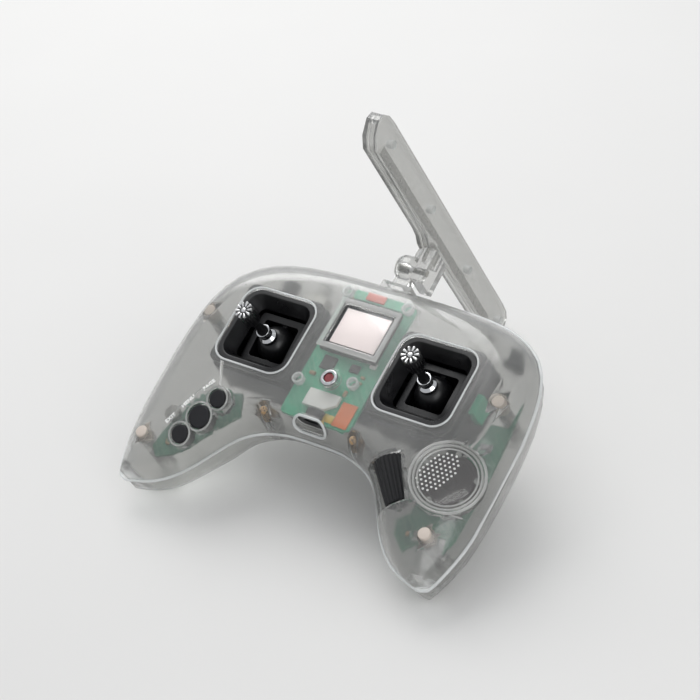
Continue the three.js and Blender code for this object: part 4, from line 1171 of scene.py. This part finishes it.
class TRANSMITTER_OT_antenna(Operator):
    """Makes the folding antenna with its bracket, knuckle and T"""

    bl_idname = "transmitter.antenna"
    bl_label = "Antenna"

    def execute(self, context):
        for part in ("bracket", "knuckle", "left_half", "right_half"):
            node = f"antenna_{part}"
            moulded(node, f"{node}_moulding", MATERIALS["antenna"], edge=0, smooth=30)
        body = BODY_OF["antenna_left_half"]
        # Painted glints: white pieces at the pegs, in the whiter edge material.
        settle(painted_peg_glints(), "antenna_peg_painted_glints", body, MATERIALS["edge"], ANTENNA)
        assign("steel", "antenna_hinge_pin", "antenna_swivel_pin", "antenna_element")
        return {"FINISHED"}


# ---- Stage --------------------------------------------------------------------------------------

VIEW_AZIMUTH = 56.04  # the camera's direction in the casing's own frame, in degrees
VIEW_ELEVATION = 52.12
VIEW_ROLL = -32.09
VIEW_TARGET = Vector((2.0863, 2.9033, 0)) * MM
VIEW_DISTANCE = 0.90737
LENS = 102.86


def make_camera():
    """Sets the camera over the casing's face, turned about the line of sight."""
    azimuth, elevation, roll = (math.radians(v) for v in (VIEW_AZIMUTH, VIEW_ELEVATION, VIEW_ROLL))
    forward = Vector((
        -math.sin(azimuth) * math.cos(elevation),
        math.cos(azimuth) * math.cos(elevation),
        -math.sin(elevation),
    ))
    level = Vector((math.cos(azimuth), math.sin(azimuth), 0))
    raised = level.cross(forward)
    right = math.cos(roll) * level + math.sin(roll) * raised
    up = right.cross(forward)
    turn = Matrix((right, up, -forward)).transposed().to_4x4()
    data = bpy.data.cameras.new("camera")
    data.sensor_width = 36
    data.lens = LENS
    camera = placed("camera", data)
    camera.matrix_world = CASE @ Matrix.Translation(VIEW_TARGET - forward * VIEW_DISTANCE) @ turn
    bpy.context.scene.camera = camera


def softbox(name, where, target, size, power):
    """A square soft light that faces the target."""
    data = bpy.data.lights.new(name, "AREA")
    data.shape = "SQUARE"
    data.size = size
    data.energy = power
    lamp = placed(name, data)
    lamp.location = where
    lamp.rotation_euler = (Vector(target) - Vector(where)).to_track_quat("-Z", "Y").to_euler()


def floor_material():
    """Matt painted board: pale, with a very faint unevenness."""
    base = tuple(colours().floor)
    material, tree, shader = new_material("matt_painted_board", base, 0.85)
    soft = pattern(tree, 0.01, 2)
    mottled(tree, shader, base, soft, 0.015)
    return material


class TRANSMITTER_OT_stage(Operator):
    """Sets out the floor, the lights, the world and the camera"""

    bl_idname = "transmitter.stage"
    bl_label = "Stage"

    def execute(self, context):
        make_camera()
        bpy.ops.object.select_all(action="DESELECT")
        bpy.ops.mesh.primitive_plane_add(size=30, location=(0, 0, 0))
        floor = context.object
        floor.name = "floor"
        floor.data.materials.append(floor_material())
        softbox("key_light", (-0.55, 0.5, 1.0), (0, 0, 0.06), 0.9, 9)
        softbox("fill_light", (0.9, -0.5, 0.7), (0, 0, 0.06), 0.8, 4)
        world = bpy.data.worlds.new("studio")
        world.use_nodes = True
        tree = world.node_tree
        tree.nodes.clear()
        pale = (*tuple(colours().floor), 1)
        shine = add(tree, "ShaderNodeBackground", Strength=0.55)
        shine.inputs["Color"].default_value = (0.95, 0.97, 1.0, 1)
        seen = add(tree, "ShaderNodeBackground", Strength=0.95)
        seen.inputs["Color"].default_value = pale
        path = add(tree, "ShaderNodeLightPath")
        mix = add(
            tree, "ShaderNodeMixShader",
            [(0, path.outputs["Is Camera Ray"]), (1, shine.outputs[0]), (2, seen.outputs[0])],
        )
        add(tree, "ShaderNodeOutputWorld", [("Surface", mix.outputs[0])])
        context.scene.world = world
        context.scene.view_settings.view_transform = "Standard"
        return {"FINISHED"}


# ---- Add-on -------------------------------------------------------------------------------------

STEPS = (
    TRANSMITTER_OT_stage,
    TRANSMITTER_OT_casing,
    TRANSMITTER_OT_sticks,
    TRANSMITTER_OT_display,
    TRANSMITTER_OT_boards,
    TRANSMITTER_OT_keys,
    TRANSMITTER_OT_power_key,
    TRANSMITTER_OT_roller,
    TRANSMITTER_OT_speaker,
    TRANSMITTER_OT_rear_controls,
    TRANSMITTER_OT_fasteners,
    TRANSMITTER_OT_antenna,
)


class TRANSMITTER_PT_panel(Panel):
    """Lists the transmitter's colours, sizes and building steps"""

    bl_idname = "TRANSMITTER_PT_panel"
    bl_label = "Radio transmitter"
    bl_space_type = "VIEW_3D"
    bl_region_type = "UI"
    bl_category = "Transmitter"

    def draw(self, context):
        for group in (context.scene.transmitter_colours, context.scene.transmitter_sizes):
            for key in group.__annotations__:
                self.layout.prop(group, key)
        for step in STEPS:
            self.layout.operator(step.bl_idname)


CLASSES = (TransmitterColours, TransmitterSizes, *STEPS, TRANSMITTER_PT_panel)


def register():
    for item in CLASSES:
        bpy.utils.register_class(item)
    bpy.types.Scene.transmitter_colours = PointerProperty(type=TransmitterColours)
    bpy.types.Scene.transmitter_sizes = PointerProperty(type=TransmitterSizes)


def unregister():
    del bpy.types.Scene.transmitter_colours
    del bpy.types.Scene.transmitter_sizes
    for item in reversed(CLASSES):
        bpy.utils.unregister_class(item)


def main():
    register()
    make_materials()
    for step in STEPS:
        group, name = step.bl_idname.split(".")
        getattr(getattr(bpy.ops, group), name)()


if __name__ == "__main__":
    main()
